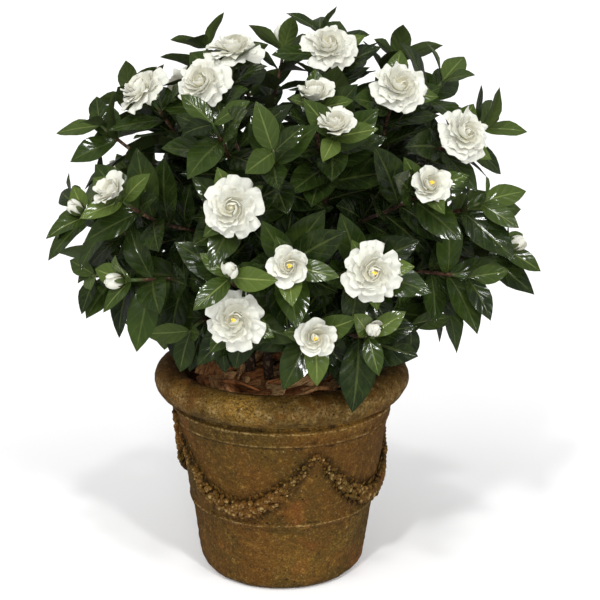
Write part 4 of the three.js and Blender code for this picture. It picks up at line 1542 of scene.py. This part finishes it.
RING_SIZES: dict[Kind, tuple[Row, ...]] = {
    OPEN: (
        (6, 28.5, 14.2, 6, -9, 4, 5.5, 0.018, 1.9, 0.0, 13, 6),
        (5, 22.0, 12.0, 20, 6, 4, 6.5, 0.022, 1.7, 0.0, 12, 31),
        (5, 18.5, 12.0, 10, 56, 5, 8.0, 0.05, 1.3, 0.05, 14, 32),
        (4, 17.5, 11.0, 16, 84, 4, 8.5, 0.066, 1.0, 0.2, 14, 33),
        (4, 16.5, 9.0, 26, 108, 3, 9.0, 0.085, 0.8, 0.4, 14, 34),
        (3, 15.5, 7.5, 36, 126, 2.2, 9.5, 0.125, 0.6, 0.7, 12, 35),
        (3, 13.0, 4.6, 52, 118, 1.2, 10.0, 0.22, 0.3, 1.0, 10, 36)),
    HALF: (
        (5, 24.0, 11.5, 54, 14, 4, 4.5, 0.045, 1.4, 0.0, 14, 5, 0.8),
        (4, 20.0, 10.2, 48, 42, 3.5, 5.5, 0.06, 1.0, 0.1, 14, 41, 0.5),
        (4, 17.5, 9.0, 44, 84, 3, 6.5, 0.08, 0.7, 0.3, 13, 42, 0.2),
        (3, 16.5, 8.0, 48, 104, 2.5, 7.0, 0.11, 0.5, 0.6, 12, 43),
        (3, 15.5, 5.6, 52, 114, 1.8, 7.5, 0.16, 0.3, 0.85, 11, 44),
        (3, 14.0, 3.9, 60, 112, 1.2, 7.5, 0.27, 0.2, 1.0, 10, 45)),
    BUD: (
        (3, 23.0, 8.2, 35, 138, 2.6, 0.3, 0.14, 0.3, 0.3, 16, 51),
        (3, 22.5, 6.8, 42, 132, 2.2, 0.8, 0.16, 0.3, 0.4, 16, 52)),
}
RINGS = {kind: [PetalRing(*sizes) for sizes in rows] for kind, rows in RING_SIZES.items()}


@dataclass
class Bloom:
    """An open or half-open flower of several rings of ruffled petals round a furled middle."""

    tip: Tip
    finish: Material
    rows: int = 10
    columns: int = 9
    edge_columns: int = 15
    half_thick: float = 0.28
    core_height: float = 13.0
    core_radii: Triple = (3.0, 3.0, 5.5)

    def petals(self, ring: PetalRing) -> Surface:
        """The petals of one ring.

        A petal's row reaches s (1 - loss |t|^power - notches) of its length, rounded or pointed; its half
        width is h (0.26 + 0.74 sin(pi/2 min(1, s / 0.82))); across, it bends to a circle of curvature cup;
        its edge ripples by ruffle s^3 (0.4 + |t|).

        Args:
            ring: the ring's sizes.

        Returns:
            The closed petals with the mark heart.
        """
        number, count = self.tip.number, ring.count
        draws = np.array([[DRAW(number, ring.key, k, j) for k in range(count)] for j in range(1, 9)])
        place, tilt, long, wide, notched, notch_side, phase, speed = draws[..., None, None]
        turn = TURN * (np.arange(count) + 0.24 * (place.ravel() - 0.5)) / count
        turn = turn + TURN * DRAW(number, ring.key)
        shift = np.radians((12 + 0.16 * ring.tip_rise) * (tilt - 0.5))
        length = ring.length * (0.86 + 0.2 * long)
        half = ring.half * (0.92 + 0.16 * wide)
        phase = TURN * phase
        s = np.linspace(0, 1, self.rows)[None, :, None]
        t = np.linspace(-1, 1, self.edge_columns if ring.ruffle > 1 else self.columns)[None, None]
        notch = 0.1 * notched * np.exp(-((t - 0.7 * (notch_side - 0.5)) / 0.2) ** 2)
        notch = notch + 0.008 * ring.ruffle * np.sin(8 * t + 2 * phase)
        loss = (0.13 + 0.2 * ring.point) * np.abs(t) ** (4 - 2.4 * ring.point)
        spine, inner, across = FlowerFrame(self.tip).arc(
            turn, length * s * (1 - loss - notch * s * s), np.radians(ring.rise) + shift,
            np.radians(ring.tip_rise) + shift, length, ring.hub, ring.height + 1.8 * (notch_side - 0.5),
            math.radians(ring.twist))
        bend = ring.cup * half * (0.26 + 0.74 * np.sin(math.pi / 2 * np.minimum(1, s / 0.82))) * t
        waves = np.sin(TURN * (0.8 + 0.6 * speed) * t + phase + 2.2 * s) + 0.32 * np.sin(9 * t - phase)
        rise = (1 - np.cos(bend)) / ring.cup + ring.ruffle * waves * s ** 3 * (0.4 + np.abs(t))
        middle = spine + across * (np.sin(bend) / ring.cup)[..., None] + inner * rise[..., None]
        return sheets(middle, inner * self.half_thick, {"heart": np.full(count, ring.heart)})

    def core(self) -> Surface:
        """The furled middle that fills the innermost ring.

        Returns:
            A long lump with the mark heart.
        """
        flower = FlowerFrame(self.tip)
        axes = np.stack([flower.side, flower.other, flower.axis])
        return studs((flower.base + flower.axis * self.core_height)[None], axes[None],
                     np.array([self.core_radii]), {"heart": np.ones(1)}, 8, 12)

    def build(self, name: str, node: str) -> None:
        """Makes the piece in place of its CAD node."""
        parts = [self.core()] + [self.petals(ring) for ring in RINGS[self.tip.kind]]
        Surface.joined(parts).shown(name, self.finish, "petals", node)


@dataclass
class Bud(Bloom):
    """A furled bud: turned rings drawn to a point, with spiral folds, and overlapping petals round them."""

    heights: Row = (0.0, 1.7, 3.8, 6.3, 9.2, 12.2, 14.7, 16.8, 18.5, 19.6, 20.2)
    radii: Row = (2.4, 4.2, 5.7, 6.6, 6.9, 6.5, 5.5, 4.3, 3.0, 1.9, 0.8)
    rings: int = 25
    sides: int = 40
    folds: int = 4
    turns: float = 0.42
    fold_key: int = 60

    def core(self) -> Surface:
        """The furled body: radius r(z) (1 + 0.13 (saw^0.7 - 0.6) w), fading at both ends by w.

        The saw is the fraction of folds (a / 2 pi + turns z / length).

        Returns:
            The body with the mark heart.
        """
        flower, top = FlowerFrame(self.tip), self.heights[-1]
        steps = np.arange(len(self.heights))
        z = np.interp(np.linspace(0, steps[-1], self.rings), steps, self.heights)[:, None]
        a = circle(self.sides)
        saw = (self.folds * (a / TURN + self.turns * z / top) + DRAW(self.tip.number, self.fold_key)) % 1
        grown = np.clip(z / 5, 0, 1) * np.clip((top - z) / 2, 0.3, 1)
        radius = np.interp(z, self.heights, self.radii) * (1 + 0.13 * (saw ** 0.7 - 0.6) * grown)
        points = (flower.base + flower.axis * z[..., None] + flower.side * (radius * np.cos(a))[..., None]
                  + flower.other * (radius * np.sin(a))[..., None]).reshape(-1, 3)
        ends = np.stack([flower.base, flower.base + flower.axis * top])
        marks = {"heart": np.full(len(points) + 2, 0.5),
                 "u": np.concatenate([np.tile(a / TURN, self.rings), [0.5, 0.5]]),
                 "v": np.concatenate([np.repeat(0.4 + 0.6 * z / top, self.sides), [0.4, 1]])}
        faces = closed_rings(self.rings, self.sides, turned=True)
        return Surface(np.concatenate([points, ends]), *faces, marks)


@dataclass
class Hearts:
    """The yellow stamens amid the blooms; the fullest ones, numbered first, cover theirs."""

    tips: list[Tip]
    finish: Material
    count: int = 6
    radius: float = 1.0
    length: float = 4.0
    step: float = 0.9
    sink: float = 0.25
    lean: float = 0.12
    full_blooms: int = 10
    tops: dict[Kind, float] = field(default_factory=lambda: {OPEN: 21.0, HALF: 20.8})

    def build(self) -> None:
        """Makes all the hearts as one piece, each a spiral of stamens that lean apart."""
        centres, axes = [], []
        for tip in self.tips[self.full_blooms:]:
            flower = FlowerFrame(tip)
            for k in range(self.count):
                turn, out = GOLDEN_TURN * k, self.step * math.sqrt(k)
                ray = swung(flower.side, flower.other, turn)
                high = self.tops[tip.kind] - self.sink * out * out
                centres.append(flower.base + flower.axis * high + ray * out)
                way = unit(flower.axis + self.lean * out * ray)
                side = square_to(flower.side, way)
                axes.append(np.stack([side, np.cross(way, side), way]))
        radii = np.tile([self.radius, self.radius, self.length / 2], (len(centres), 1))
        made = studs(np.array(centres), np.array(axes), radii, {}, 5, 6)
        made.shown("flower_hearts", self.finish, "petals")


@dataclass
class Pot:
    """The tapered pot with its bands, rolled rim, garlands and drain holes.

    A row of its unevenness is a height, a wavelength, a seed and how many waves are summed.
    """

    finish: Material
    base_radius: float = 84.0
    foot_radius: float = 98.5
    foot_height: float = 20.0
    slope: float = 0.162
    low_band: Pair = (84.0, 91.0)
    high_band: Pair = (191.0, 211.0)
    band_relief: float = 2.4
    rim_ring: float = 131.5
    rim_roll: float = 18.5
    floor: float = 18.0
    inner_floor: float = 83.0
    drain_radius: float = 9.0
    drain_offset: float = 46.0
    drains: int = 3
    sides: int = 216
    step: float = 1.4
    fine_step: float = 0.5
    unevenness: tuple[Row, ...] = ((0.55, 70, 5, 7), (0.22, 17, 6, 12), (0.17, 9.5, 14, 14))
    rim_light: Pair = (238.0, 15.0)
    gilt_wave: tuple[float, int] = (85.0, 1326)
    gilt_height: float = 90.0

    def wall(self, z: Amount) -> Amount:
        """Radius of the plain wall at a height."""
        return self.foot_radius + self.slope * (z - self.foot_height)

    def outline(self) -> Array:
        """The side view's corners from the base's edge over the rim and down to the inner floor.

        Returns:
            Radius and height of each corner.
        """
        base, relief = self.base_radius, self.band_relief
        (a, b), (c, d) = self.low_band, self.high_band
        middle = (a + b) / 2
        turns = np.radians(np.linspace(-97, 180, 36))
        roll = np.stack([self.rim_ring + self.rim_roll * np.cos(turns),
                         RIM_HEIGHT + self.rim_roll * np.sin(turns)], 1)
        foot = [(base, 0), (base + 4, 0.6), (base + 8, 3), (base + 11, 6.5), (base + 12.8, 11),
                (self.foot_radius, self.foot_height)]
        bands = [(a - 1, 0, 0), (a, 1.3, 0.6), (a, 1.6, 1.6), (middle, 1.2, -0.8), (middle, relief, 0.8),
                 (b, relief - 0.4, -1.6), (b, 0, 0.4), (c - 1, 0, 0), (c, relief, 1.2),
                 (c, relief + 0.5, 2.8), (c, relief - 0.5, 4.6), (d, relief - 0.5, -4.6),
                 (d, relief + 0.5, -2.8), (d, relief, -1.2), (d, 0, 0.6)]
        bands = [(self.wall(z) + out, z + up) for z, out, up in bands]
        inside = [(self.rim_ring - self.rim_roll - 1, SOIL_TOP), (self.inner_floor + 3, self.floor + 4),
                  (self.inner_floor, self.floor)]
        return np.concatenate([foot, bands, roll, inside])

    def profile(self) -> Arrays:
        """The side view with its corners rounded.

        Returns:
            Radius and height of each row, and how far it stands out from a wide and from a fine smoothing.
        """
        line = self.outline()
        gaps = np.concatenate([[0], np.cumsum(np.linalg.norm(np.diff(line, axis=0), axis=1))])
        rows = np.linspace(0, gaps[-1], int(gaps[-1] / self.fine_step))
        fine = np.stack([np.interp(rows, gaps, line[:, i]) for i in (0, 1)], 1)

        def smoothed(reach: float) -> Array:
            """The side view rounded by a bell.

            Args:
                reach: the bell's reach in millimetres.

            Returns:
                Radius and height of each row.
            """
            width = int(6 * reach)
            bell = np.exp(-0.5 * (np.arange(-width, width + 1) * self.fine_step / reach) ** 2)
            padded = np.pad(fine, ((width, width), (0, 0)), mode="edge")
            return np.stack([np.convolve(padded[:, i], bell / bell.sum(), "valid") for i in (0, 1)], 1)

        soft, softer = smoothed(0.55), smoothed(7.0)
        soft[0], soft[-1] = fine[0], fine[-1]
        along = unit(np.gradient(softer, axis=0))
        out = np.stack([along[:, 1], -along[:, 0]], 1)
        wide, narrow = (((soft - other) * out).sum(1) for other in (softer, smoothed(2.2)))
        keep = np.unique(np.round(np.linspace(0, len(rows) - 1, int(gaps[-1] / self.step))).astype(int))
        return soft[keep], wide[keep], narrow[keep]

    def build(self) -> None:
        """Makes the pot's body, with the marks relief and gilt and the painted shadow of the garlands, and
        its garlands.
        """
        garlands = Garlands(self)
        line, stand, edge = self.profile()
        height, count = line[:, 1:], len(line)
        turn = circle(self.sides)
        ways = np.stack([np.cos(turn), np.sin(turn), np.zeros(self.sides)], -1)
        points = ways[None] * line[:, :1, None] + UP * height[..., None]
        fade = np.minimum(1, np.minimum(np.arange(count), count - 1 - np.arange(count)) / 6)
        uneven = sum(size * ripple(points, *wave) for size, *wave in self.unevenness)
        points = points + ways * (uneven * fade[:, None])[..., None]
        rim = np.exp(-((height - self.rim_light[0]) / self.rim_light[1]) ** 2)
        # The relief is lighter on ridges and darker in grooves: partly rubbed wear and patina, partly painted
        # highlight and painted shade.
        relief = (np.clip(0.5 + 0.07 * stand + 0.5 * edge, 0, 1)[:, None] + 0.14 * rim
                  + 0.08 * ripple(points, 12, 8))
        outside = (np.arange(count) < np.argmax(height)).astype(float)[:, None]
        gilt = 0.35 * rim - 0.45 + 0.7 * ripple(points, *self.gilt_wave)
        gilt = gilt * outside * (0.45 + 0.55 * (height > self.gilt_height))
        # The wall near a garland gets painted shadow.
        marks = {"relief": np.clip(relief, 0, 1).ravel(), "gilt": np.clip(gilt, 0, 1).ravel(),
                 "grime": (garlands.closeness(points) * outside).ravel()}
        index = np.arange(count * self.sides).reshape(count, self.sides)
        shell = Surface(points.reshape(-1, 3), grid_quads(index, around=True)[:, ::-1], marks=marks)
        Surface.joined([shell, *self.floors()]).welded().shown("pot_body", self.finish, "pot", "pot")
        garlands.build()

    def floors(self) -> list[Surface]:
        """The lower and the inner floor and the walls of the drain holes between them, drain by drain.

        Returns:
            The surfaces.
        """
        made = []
        for drain in range(self.drains):
            low_hole, low_edge = self._sector(drain, self.base_radius, 0.0)
            high_hole, high_edge = self._sector(drain, self.inner_floor, self.floor)
            # The drain walls' lower relief paints them darker, as shade in the holes.
            for first, last, rows, relief in ((low_edge, low_hole, 5, 0.45), (high_hole, high_edge, 5, 0.45),
                                              (low_hole, high_hole, 4, 0.3)):
                points = first + (last - first) * np.linspace(0, 1, rows)[:, None, None]
                index = np.arange(rows * len(first)).reshape(rows, -1)
                made.append(Surface(points.reshape(-1, 3), grid_quads(index, around=True),
                                    marks={"relief": np.full(index.size, relief)}))
        return made

    def _sector(self, drain: int, radius: float, z: float) -> Arrays:
        """A drain hole and its share of a floor.

        Args:
            drain: the number of the drain hole.
            radius: the floor's radius.
            z: the floor's height.

        Returns:
            Points of the hole's edge, and of the edge of the share in the same directions.
        """
        share = self.sides // self.drains
        turn = TURN * (drain * share + np.arange(share + 1) - share // 2) / self.sides
        arc = radius * np.stack([np.cos(turn), np.sin(turn)], 1)
        spoke = np.linspace(1, 0, 13)[1:-1, None]
        edge = np.concatenate([arc, arc[-1] * spoke, [[0, 0]], arc[0] * spoke[::-1]])
        turn = TURN * drain / self.drains
        middle = self.drain_offset * np.array([math.cos(turn), math.sin(turn)])
        hole = middle + self.drain_radius * unit(edge - middle)
        return np.c_[hole, np.full(len(hole), z)], np.c_[edge, np.full(len(edge), z)]


@dataclass
class Strand:
    """A strand of a garland: turn right of the front, height and half thickness along it, and its beads."""

    turn: Array
    height: Array
    half: Array
    beads: int


@dataclass
class Garlands:
    """The beaded garlands and drops in relief on the pot's wall."""

    pot: Pot
    swags: int = 4
    phase: float = 18.7
    spread: float = 0.47
    peak: float = 175.0
    low: float = 109.0
    thin: float = 4.5
    thick: float = 12.0
    drop_top: float = 203.0
    drop_length: float = 44.0
    drop_radius: float = 6.0
    beads: int = 260
    tie_beads: int = 18
    drop_beads: int = 70
    beads_per_leaf: int = 7
    lump_grid: tuple[int, int] = (6, 8)
    swag_steps: int = 61
    drop_steps: int = 31
    rope_share: float = 0.66
    rope_sides: int = 12
    seed: int = 7

    def on_wall(self, degrees: Array, z: Array, out: float = 0.0) -> Array:
        """Points by turn right of the front, height, and distance off the wall."""
        turn, radius = np.radians(degrees), self.pot.wall(z) + out
        return np.stack(np.broadcast_arrays(radius * np.sin(turn), -radius * np.cos(turn), z), -1)

    def strands(self) -> list[Strand]:
        """The swags and the ties between them, then the drops at both sides.

        Returns:
            The strands.
        """
        reach, down = np.linspace(-1, 1, self.swag_steps), np.linspace(0, 1, self.drop_steps)
        sag, span = 1 - reach ** 2, 360 / self.swags
        made = []
        for i in range(self.swags):
            made.append(Strand(self.phase + span * (i - 0.5 + self.spread * reach),
                               self.peak - (self.peak - self.low) * sag,
                               self.thin + (self.thick - self.thin) * sag, self.beads))
            made.append(Strand(self.phase + span * i + span * (0.5 - self.spread) * reach,
                               self.peak + 4 * sag, np.full(self.swag_steps, self.thin - 1),
                               self.tie_beads))
        return made + [Strand(np.full(self.drop_steps, degrees), self.drop_top - self.drop_length * down,
                              self.drop_radius * (1 + 0.4 * down), self.drop_beads)
                       for degrees in (self.phase - 90, self.phase + 90)]

    def closeness(self, points: Array) -> Array:
        """How close points of the wall are: exp(-(d / 5)^2) of the distance d past a strand's edge, for the
        painted shadow of the garlands.

        Args:
            points: the points, shape (rows, columns, 3).

        Returns:
            One value per point.
        """
        spots = np.concatenate([np.c_[self.on_wall(s.turn, s.height), s.half] for s in self.strands()])
        gaps = [(np.linalg.norm(block[:, None] - spots[None, :, :3], axis=2) - spots[None, :, 3]).min(1)
                for block in np.array_split(points.reshape(-1, 3), 24)]
        return np.exp(-(np.maximum(np.concatenate(gaps), 0) / 5) ** 2).reshape(points.shape[:2])

    def build(self) -> None:
        """Makes the garlands as one piece: a rope half sunk in the wall, beads over it, leaves beside it."""
        rng = np.random.default_rng(self.seed)
        parts = []
        for strand in self.strands():
            path = self.on_wall(strand.turn, strand.height, -1.0)
            # The sunk rope is painted dark as the shade between the beads.
            marks = {"grime": np.full(len(path), 0.5), "relief": np.full(len(path), 0.08)}
            parts += [tube(path, strand.half * self.rope_share, self.rope_sides, marks),
                      self._lumps(strand, strand.beads, rng),
                      self._lumps(strand, strand.beads // self.beads_per_leaf, rng, leaves=True)]
        Surface.joined(parts).shown("pot_garlands", self.pot.finish, "pot")

    def _lumps(self, strand: Strand, count: int, rng: np.random.Generator, leaves: bool = False) -> Surface:
        """Beads on a strand, or little leaves along its edges.

        Args:
            strand: the strand.
            count: how many lumps.
            rng: where the uneven places come from.
            leaves: whether they are leaves and not beads.

        Returns:
            The lumps, lighter on their outer tops as a painted highlight and darker on their sides and
            undersides as painted shade, with a random tone each.
        """
        steps = np.arange(len(strand.half))

        def spots(at: Array) -> Array:
            """Points on the wall at places counted in steps of the strand."""
            return self.on_wall(np.interp(at, steps, strand.turn), np.interp(at, steps, strand.height))

        share = (np.arange(count) + rng.uniform(0, 1, count)) / count
        weight = np.cumsum(strand.half)
        at = np.interp(share, weight / weight[-1], steps)
        reach, middle = np.interp(at, steps, strand.half), spots(at)
        along = unit(spots(at + 0.5) - spots(at - 0.5))
        outward = unit(unit(middle * [1, 1, 0]) - self.pot.slope * UP)
        across = unit(np.cross(along, outward))
        shade = rng.uniform(0.4, 1, count)
        if leaves:
            side = rng.choice([-1.0, 1.0], count)
            lean = rng.uniform(-0.9, 0.9, count)[:, None]
            point = unit(across * side[:, None] + along * lean + 0.25 * outward)
            wide = unit(np.cross(outward, point))
            axes = np.stack([point, wide, np.cross(point, wide)], 1)
            offset, raised = side * 0.92, rng.uniform(0.3, 1.6, count)
            radii = np.stack([reach * 0.42 + 1.2, np.full(count, 1.9), np.full(count, 1.3)], 1)
            low, rise = 0.4, 0.3
        else:
            offset = rng.uniform(-1, 1, count)
            size = 1.35 + 0.1 * reach + 2.6 * rng.uniform(0, 1, count) ** 2 * np.clip(reach / 9, 0.4, 1)
            offset = offset * np.clip(1 - size / (1.6 * reach), 0.12, 1)
            raised = 0.7 * reach * np.sqrt(1 - offset ** 2) - size * 0.2
            axes, radii = np.stack([along, across, outward], 1), np.stack([size, size, size], 1)
            low, rise = -0.06, 1.26
        centre = middle + across * (offset * reach)[:, None] + outward * raised[:, None]
        # Painted highlight on the outward side of each lump, painted shade where it faces the wall.
        over = np.tile(ball(*self.lump_grid)[:, 2], count)
        made = studs(centre, axes, radii, {"relief": shade}, *self.lump_grid)
        made.marks["relief"] = np.clip(low + rise * over * made.marks["relief"], 0, 1)
        made.marks["grime"] = np.clip(-over, 0, 1)
        return made


@dataclass
class Mulch:
    """Bark chips over the soil, the frame's large ones and many smaller between them.

    A row of the jags, one for each of X, Y and Z, is a height, a wavelength and a seed.
    """

    finish: Material
    chip_count: int = 20
    mouth: float = 113.0
    fillers: int = 84
    outer_ring: Pair = (88.0, 96.0)
    inner_ring: Pair = (64.0, 70.0)
    large_sizes: tuple[Pair, ...] = ((28.0, 46.0), (13.0, 21.0), (5.0, 8.0))
    small_sizes: tuple[Pair, ...] = ((10.0, 22.0), (7.0, 12.5), (1.5, 3.0))
    leans_outside: float = 72.0
    seed: int = 31
    tone_key: int = 70
    apart: Triple = (31.7, 17.3, 5.9)
    jags: tuple[Triple, ...] = ((0.9, 9, 11), (0.9, 8, 12), (0.6, 6, 13))
    leaning: Triple = (17.0, 42.0, 6.0)
    leaning_turn: float = 27.0
    leaning_tilt: float = 24.0
    bed_sides: int = 96
    bed_radii: Row = (0.5, 12, 24, 36, 48, 60, 72, 84, 94, 102, 108, 111, 111, 60, 0.5)
    bed_heights: Row = (5.4,) * 10 + (5.0, 4.0, 0.4, 0.4, 0.4)

    @staticmethod
    def turned(x: float, y: float, z: float) -> Array:
        """The matrix that turns about X, then Y, then Z, in radians."""
        return np.array(Euler((x, y, z)).to_matrix())

    def _large(self) -> Arrays:
        """The frame's chips by its own rule, then the one that leans on the rim.

        Returns:
            Middles, axes and half sizes.
        """
        centres, axes, halves = [], [], []
        for i in range(self.chip_count):
            outer = i % 3 != 0
            turn = TURN * (i + DRAW(i, 1) * 0.6) / self.chip_count * (1 if outer else 1.9)
            radius = DRAW.between(*(self.outer_ring if outer else self.inner_ring), i, 2)
            size = [DRAW.between(*limits, i, key) for key, limits in enumerate(self.large_sizes, 3)]
            spun = (DRAW.between(-0.4, 0.4, i, 9), DRAW.between(-0.3, 0.3, i, 10),
                    turn + DRAW.between(-0.4, 0.4, i, 11))
            centres.append([radius * math.sin(turn), -radius * math.cos(turn),
                            SOIL_TOP + DRAW.between(7.5, 12, i, 12)])
            axes.append(self.turned(*spun).T)
            halves.append(np.array(size) * [0.48, 0.47, 0.48])
        place = self.turned(0, 0, math.radians(self.leaning_turn))
        centres.append(place @ [0, 8 - self.mouth, SOIL_TOP + 18])
        axes.append((place @ self.turned(-math.radians(self.leaning_tilt), 0, 0)).T)
        halves.append(np.array(self.leaning) / 2)
        return np.array(centres), np.array(axes), np.array(halves)

    def _small(self) -> Arrays:
        """The smaller chips that cover the bed on an even spiral, leaning up where they are near the wall.

        Returns:
            Middles, axes and half sizes.
        """
        rng = np.random.default_rng(self.seed)
        count = self.fillers
        radius = (self.mouth - 17) * np.sqrt((np.arange(count) + 0.5) / count)
        turn = GOLDEN_TURN * np.arange(count)
        wall = radius > self.leans_outside
        high = SOIL_TOP + 13 + rng.uniform(-2, 6, count) + 3.5 * wall
        centres = np.stack([radius * np.cos(turn), radius * np.sin(turn), high], 1)
        lean = np.where(wall, rng.uniform(-0.8, 0.2, count), rng.uniform(0.1, 1.1, count))
        spun = turn + math.pi / 2 + rng.uniform(-0.35, 0.35, count) * np.where(wall, 1, 2.6)
        axes = np.array([self.turned(*turns).T for turns in zip(lean, rng.uniform(-0.35, 0.35, count), spun)])
        halves = np.stack([rng.uniform(*limits, count) for limits in self.small_sizes], 1)
        return centres, axes, halves

    def build(self) -> None:
        """Makes the jagged chips and the rough bed under them in place of the CAD node."""
        centres, axes, halves = (np.concatenate(pair) for pair in zip(self._large(), self._small()))
        number = np.arange(len(centres))
        marks = {"tone": 1.3 * np.array([DRAW(int(i), self.tone_key) for i in number]) - 0.2}
        chips = studs(centres, axes, halves, marks, 10, 20, boxy=0.3)
        jag = chips.points + np.repeat(number, len(chips.points) // len(number))[:, None] * self.apart
        shake = [size * ripple(jag, wavelength, seed) for size, wavelength, seed in self.jags]
        chips.points = chips.points + np.stack(shake, 1)
        # Painted shade: each chip gets darker the lower it lies in the mulch.
        chips.marks["tone"] -= np.clip((SOIL_TOP + 14 - chips.points[:, 2]) / 7, 0, 1.2)
        Surface.joined([chips, self._bed()]).shown("bark_chips", self.finish, "bark", "bark_mulch")

    def _bed(self) -> Surface:
        """The rough ground of fine bark: a low disc whose top rises and falls.

        Returns:
            The closed bed.
        """
        radius, high, turn = np.array(self.bed_radii), np.array(self.bed_heights), circle(self.bed_sides)
        points = np.stack(np.broadcast_arrays(radius[:, None] * np.cos(turn), radius[:, None] * np.sin(turn),
                                              SOIL_TOP + high[:, None]), -1)
        rough = (high > 5)[:, None] * (0.9 * ripple(points, 14, 21) + 0.5 * ripple(points, 5, 22))
        points[..., 2] += np.clip(rough, -2.2, 2.2)
        ends = SOIL_TOP * UP + np.outer([high[0], high[-1]], UP)
        points = np.concatenate([points.reshape(-1, 3), ends])
        # The bed's low tone paints it dark: partly its own fine bark, partly shade between the chips.
        marks = {"tone": -0.6 + 0.2 * ripple(points, 20, 23), "u": points[:, 0] / 60, "v": points[:, 1] / 60}
        return Surface(points, *closed_rings(len(radius), self.bed_sides), marks)


# Studio


@dataclass(frozen=True)
class Lamp:
    """A distant soft light: degrees to the right, above the floor and across, and its strength."""

    name: str
    azimuth: float
    elevation: float
    spread: float
    strength: float
    glint: bool = False


@dataclass
class Studio:
    """Pale floor, soft white light and the camera at the photograph's viewing angle."""

    floor_finish: Material
    camera_place: Triple = (0.0215, -1.7948, 0.8518)
    pitch: float = 16.3
    lens: float = 96.0
    sensor: float = 36.0
    floor_half: float = 14.0
    world_light: float = 0.5
    world_gloss: float = 0.2
    world_seen: float = 0.95
    lamps: tuple[Lamp, ...] = (
        Lamp("left", -42, 54, 32, 0.56),
        Lamp("right", 42, 50, 32, 0.42),
        Lamp("front", 6, 17, 14, 0.78),
        Lamp("left_glint", -20, 42, 5, 0.95, glint=True),
        Lamp("right_glint", 28, 36, 5, 0.8, glint=True),
        Lamp("top_glint", 6, 64, 5, 0.45, glint=True))

    @staticmethod
    def placed(name: str, data: bpy.types.ID, turn: Triple = (0, 0, 0)) -> bpy.types.Object:
        """Puts a new object into the scene.

        Args:
            name: its name.
            data: its mesh, light or camera.
            turn: its turns about X, Y and Z in degrees.

        Returns:
            The object.
        """
        made = bpy.data.objects.new(name, data)
        made.rotation_euler = np.radians(turn)
        bpy.context.scene.collection.objects.link(made)
        return made

    def build(self) -> None:
        """Sets up floor, world, lights, camera and view."""
        scene, far = bpy.context.scene, self.floor_half
        mesh = bpy.data.meshes.new("floor")
        mesh.from_pydata([(-far, -far, 0), (far, -far, 0), (far, far, 0), (-far, far, 0)], [], [(0, 1, 2, 3)])
        mesh.materials.append(self.floor_finish)
        ground = self.placed("floor", mesh)
        ground.visible_glossy = False
        scene.world = bpy.data.worlds.new("studio")
        scene.world.use_nodes = True
        n = Nodes(scene.world.node_tree)
        rays = n.add("LightPath").outputs
        base = self.world_light
        light = n.sum("MULTIPLY_ADD", rays["Is Glossy Ray"], self.world_gloss - base, base)
        light = n.sum("MULTIPLY_ADD", rays["Is Camera Ray"], self.world_seen - base, light)
        background = scene.world.node_tree.nodes["Background"].inputs
        n.put(background["Color"], "ffffff")
        n.put(background["Strength"], light)
        for lamp in self.lamps:
            data = bpy.data.lights.new(lamp.name, "SUN")
            data.angle, data.energy = math.radians(lamp.spread), lamp.strength
            self.placed(lamp.name, data, (90 - lamp.elevation, 0, lamp.azimuth)).visible_glossy = lamp.glint
        data = bpy.data.cameras.new("camera")
        data.lens, data.sensor_width = self.lens, self.sensor
        scene.camera = self.placed("camera", data, (90 - self.pitch, 0, 0))
        scene.camera.location = self.camera_place
        scene.view_settings.view_transform = "Standard"
        scene.view_settings.exposure = 0.0


def main() -> None:
    """Builds every sub-assembly in order."""
    logging.basicConfig(level=logging.INFO, format="%(message)s")
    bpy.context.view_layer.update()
    shared = SharedEffects()
    petal = SatinPetal(shared).material

    Pot(AntiquedStone(shared).material).build()
    frame["nodes"]["soil"].data.materials.clear()
    frame["nodes"]["soil"].data.materials.append(DarkSoil(shared).material)
    Mulch(BarkChips(shared).material).build()

    shrub = Shrub()
    shrub.place_tips()
    shrub.read_frame(frame["nodes"])
    Foliage(shrub, GlossyLeaf(shared).material).build()
    Stems(shrub, StemBark(shared).material).build()

    flowers = [tip for tip in shrub.tips if tip.kind in (OPEN, HALF)]
    for i, tip in enumerate(flowers, 1):
        Bloom(tip, petal).build(f"bloom_{i}", f"flower_{i}")
    for i, tip in enumerate((tip for tip in shrub.tips if tip.kind is BUD), 1):
        Bud(tip, petal).build(f"furled_bud_{i}", f"bud_{i}")
    Hearts(flowers, PollenYellow(shared).material).build()

    Studio(StudioFloor(shared).material).build()


if __name__ == "__main__":
    main()
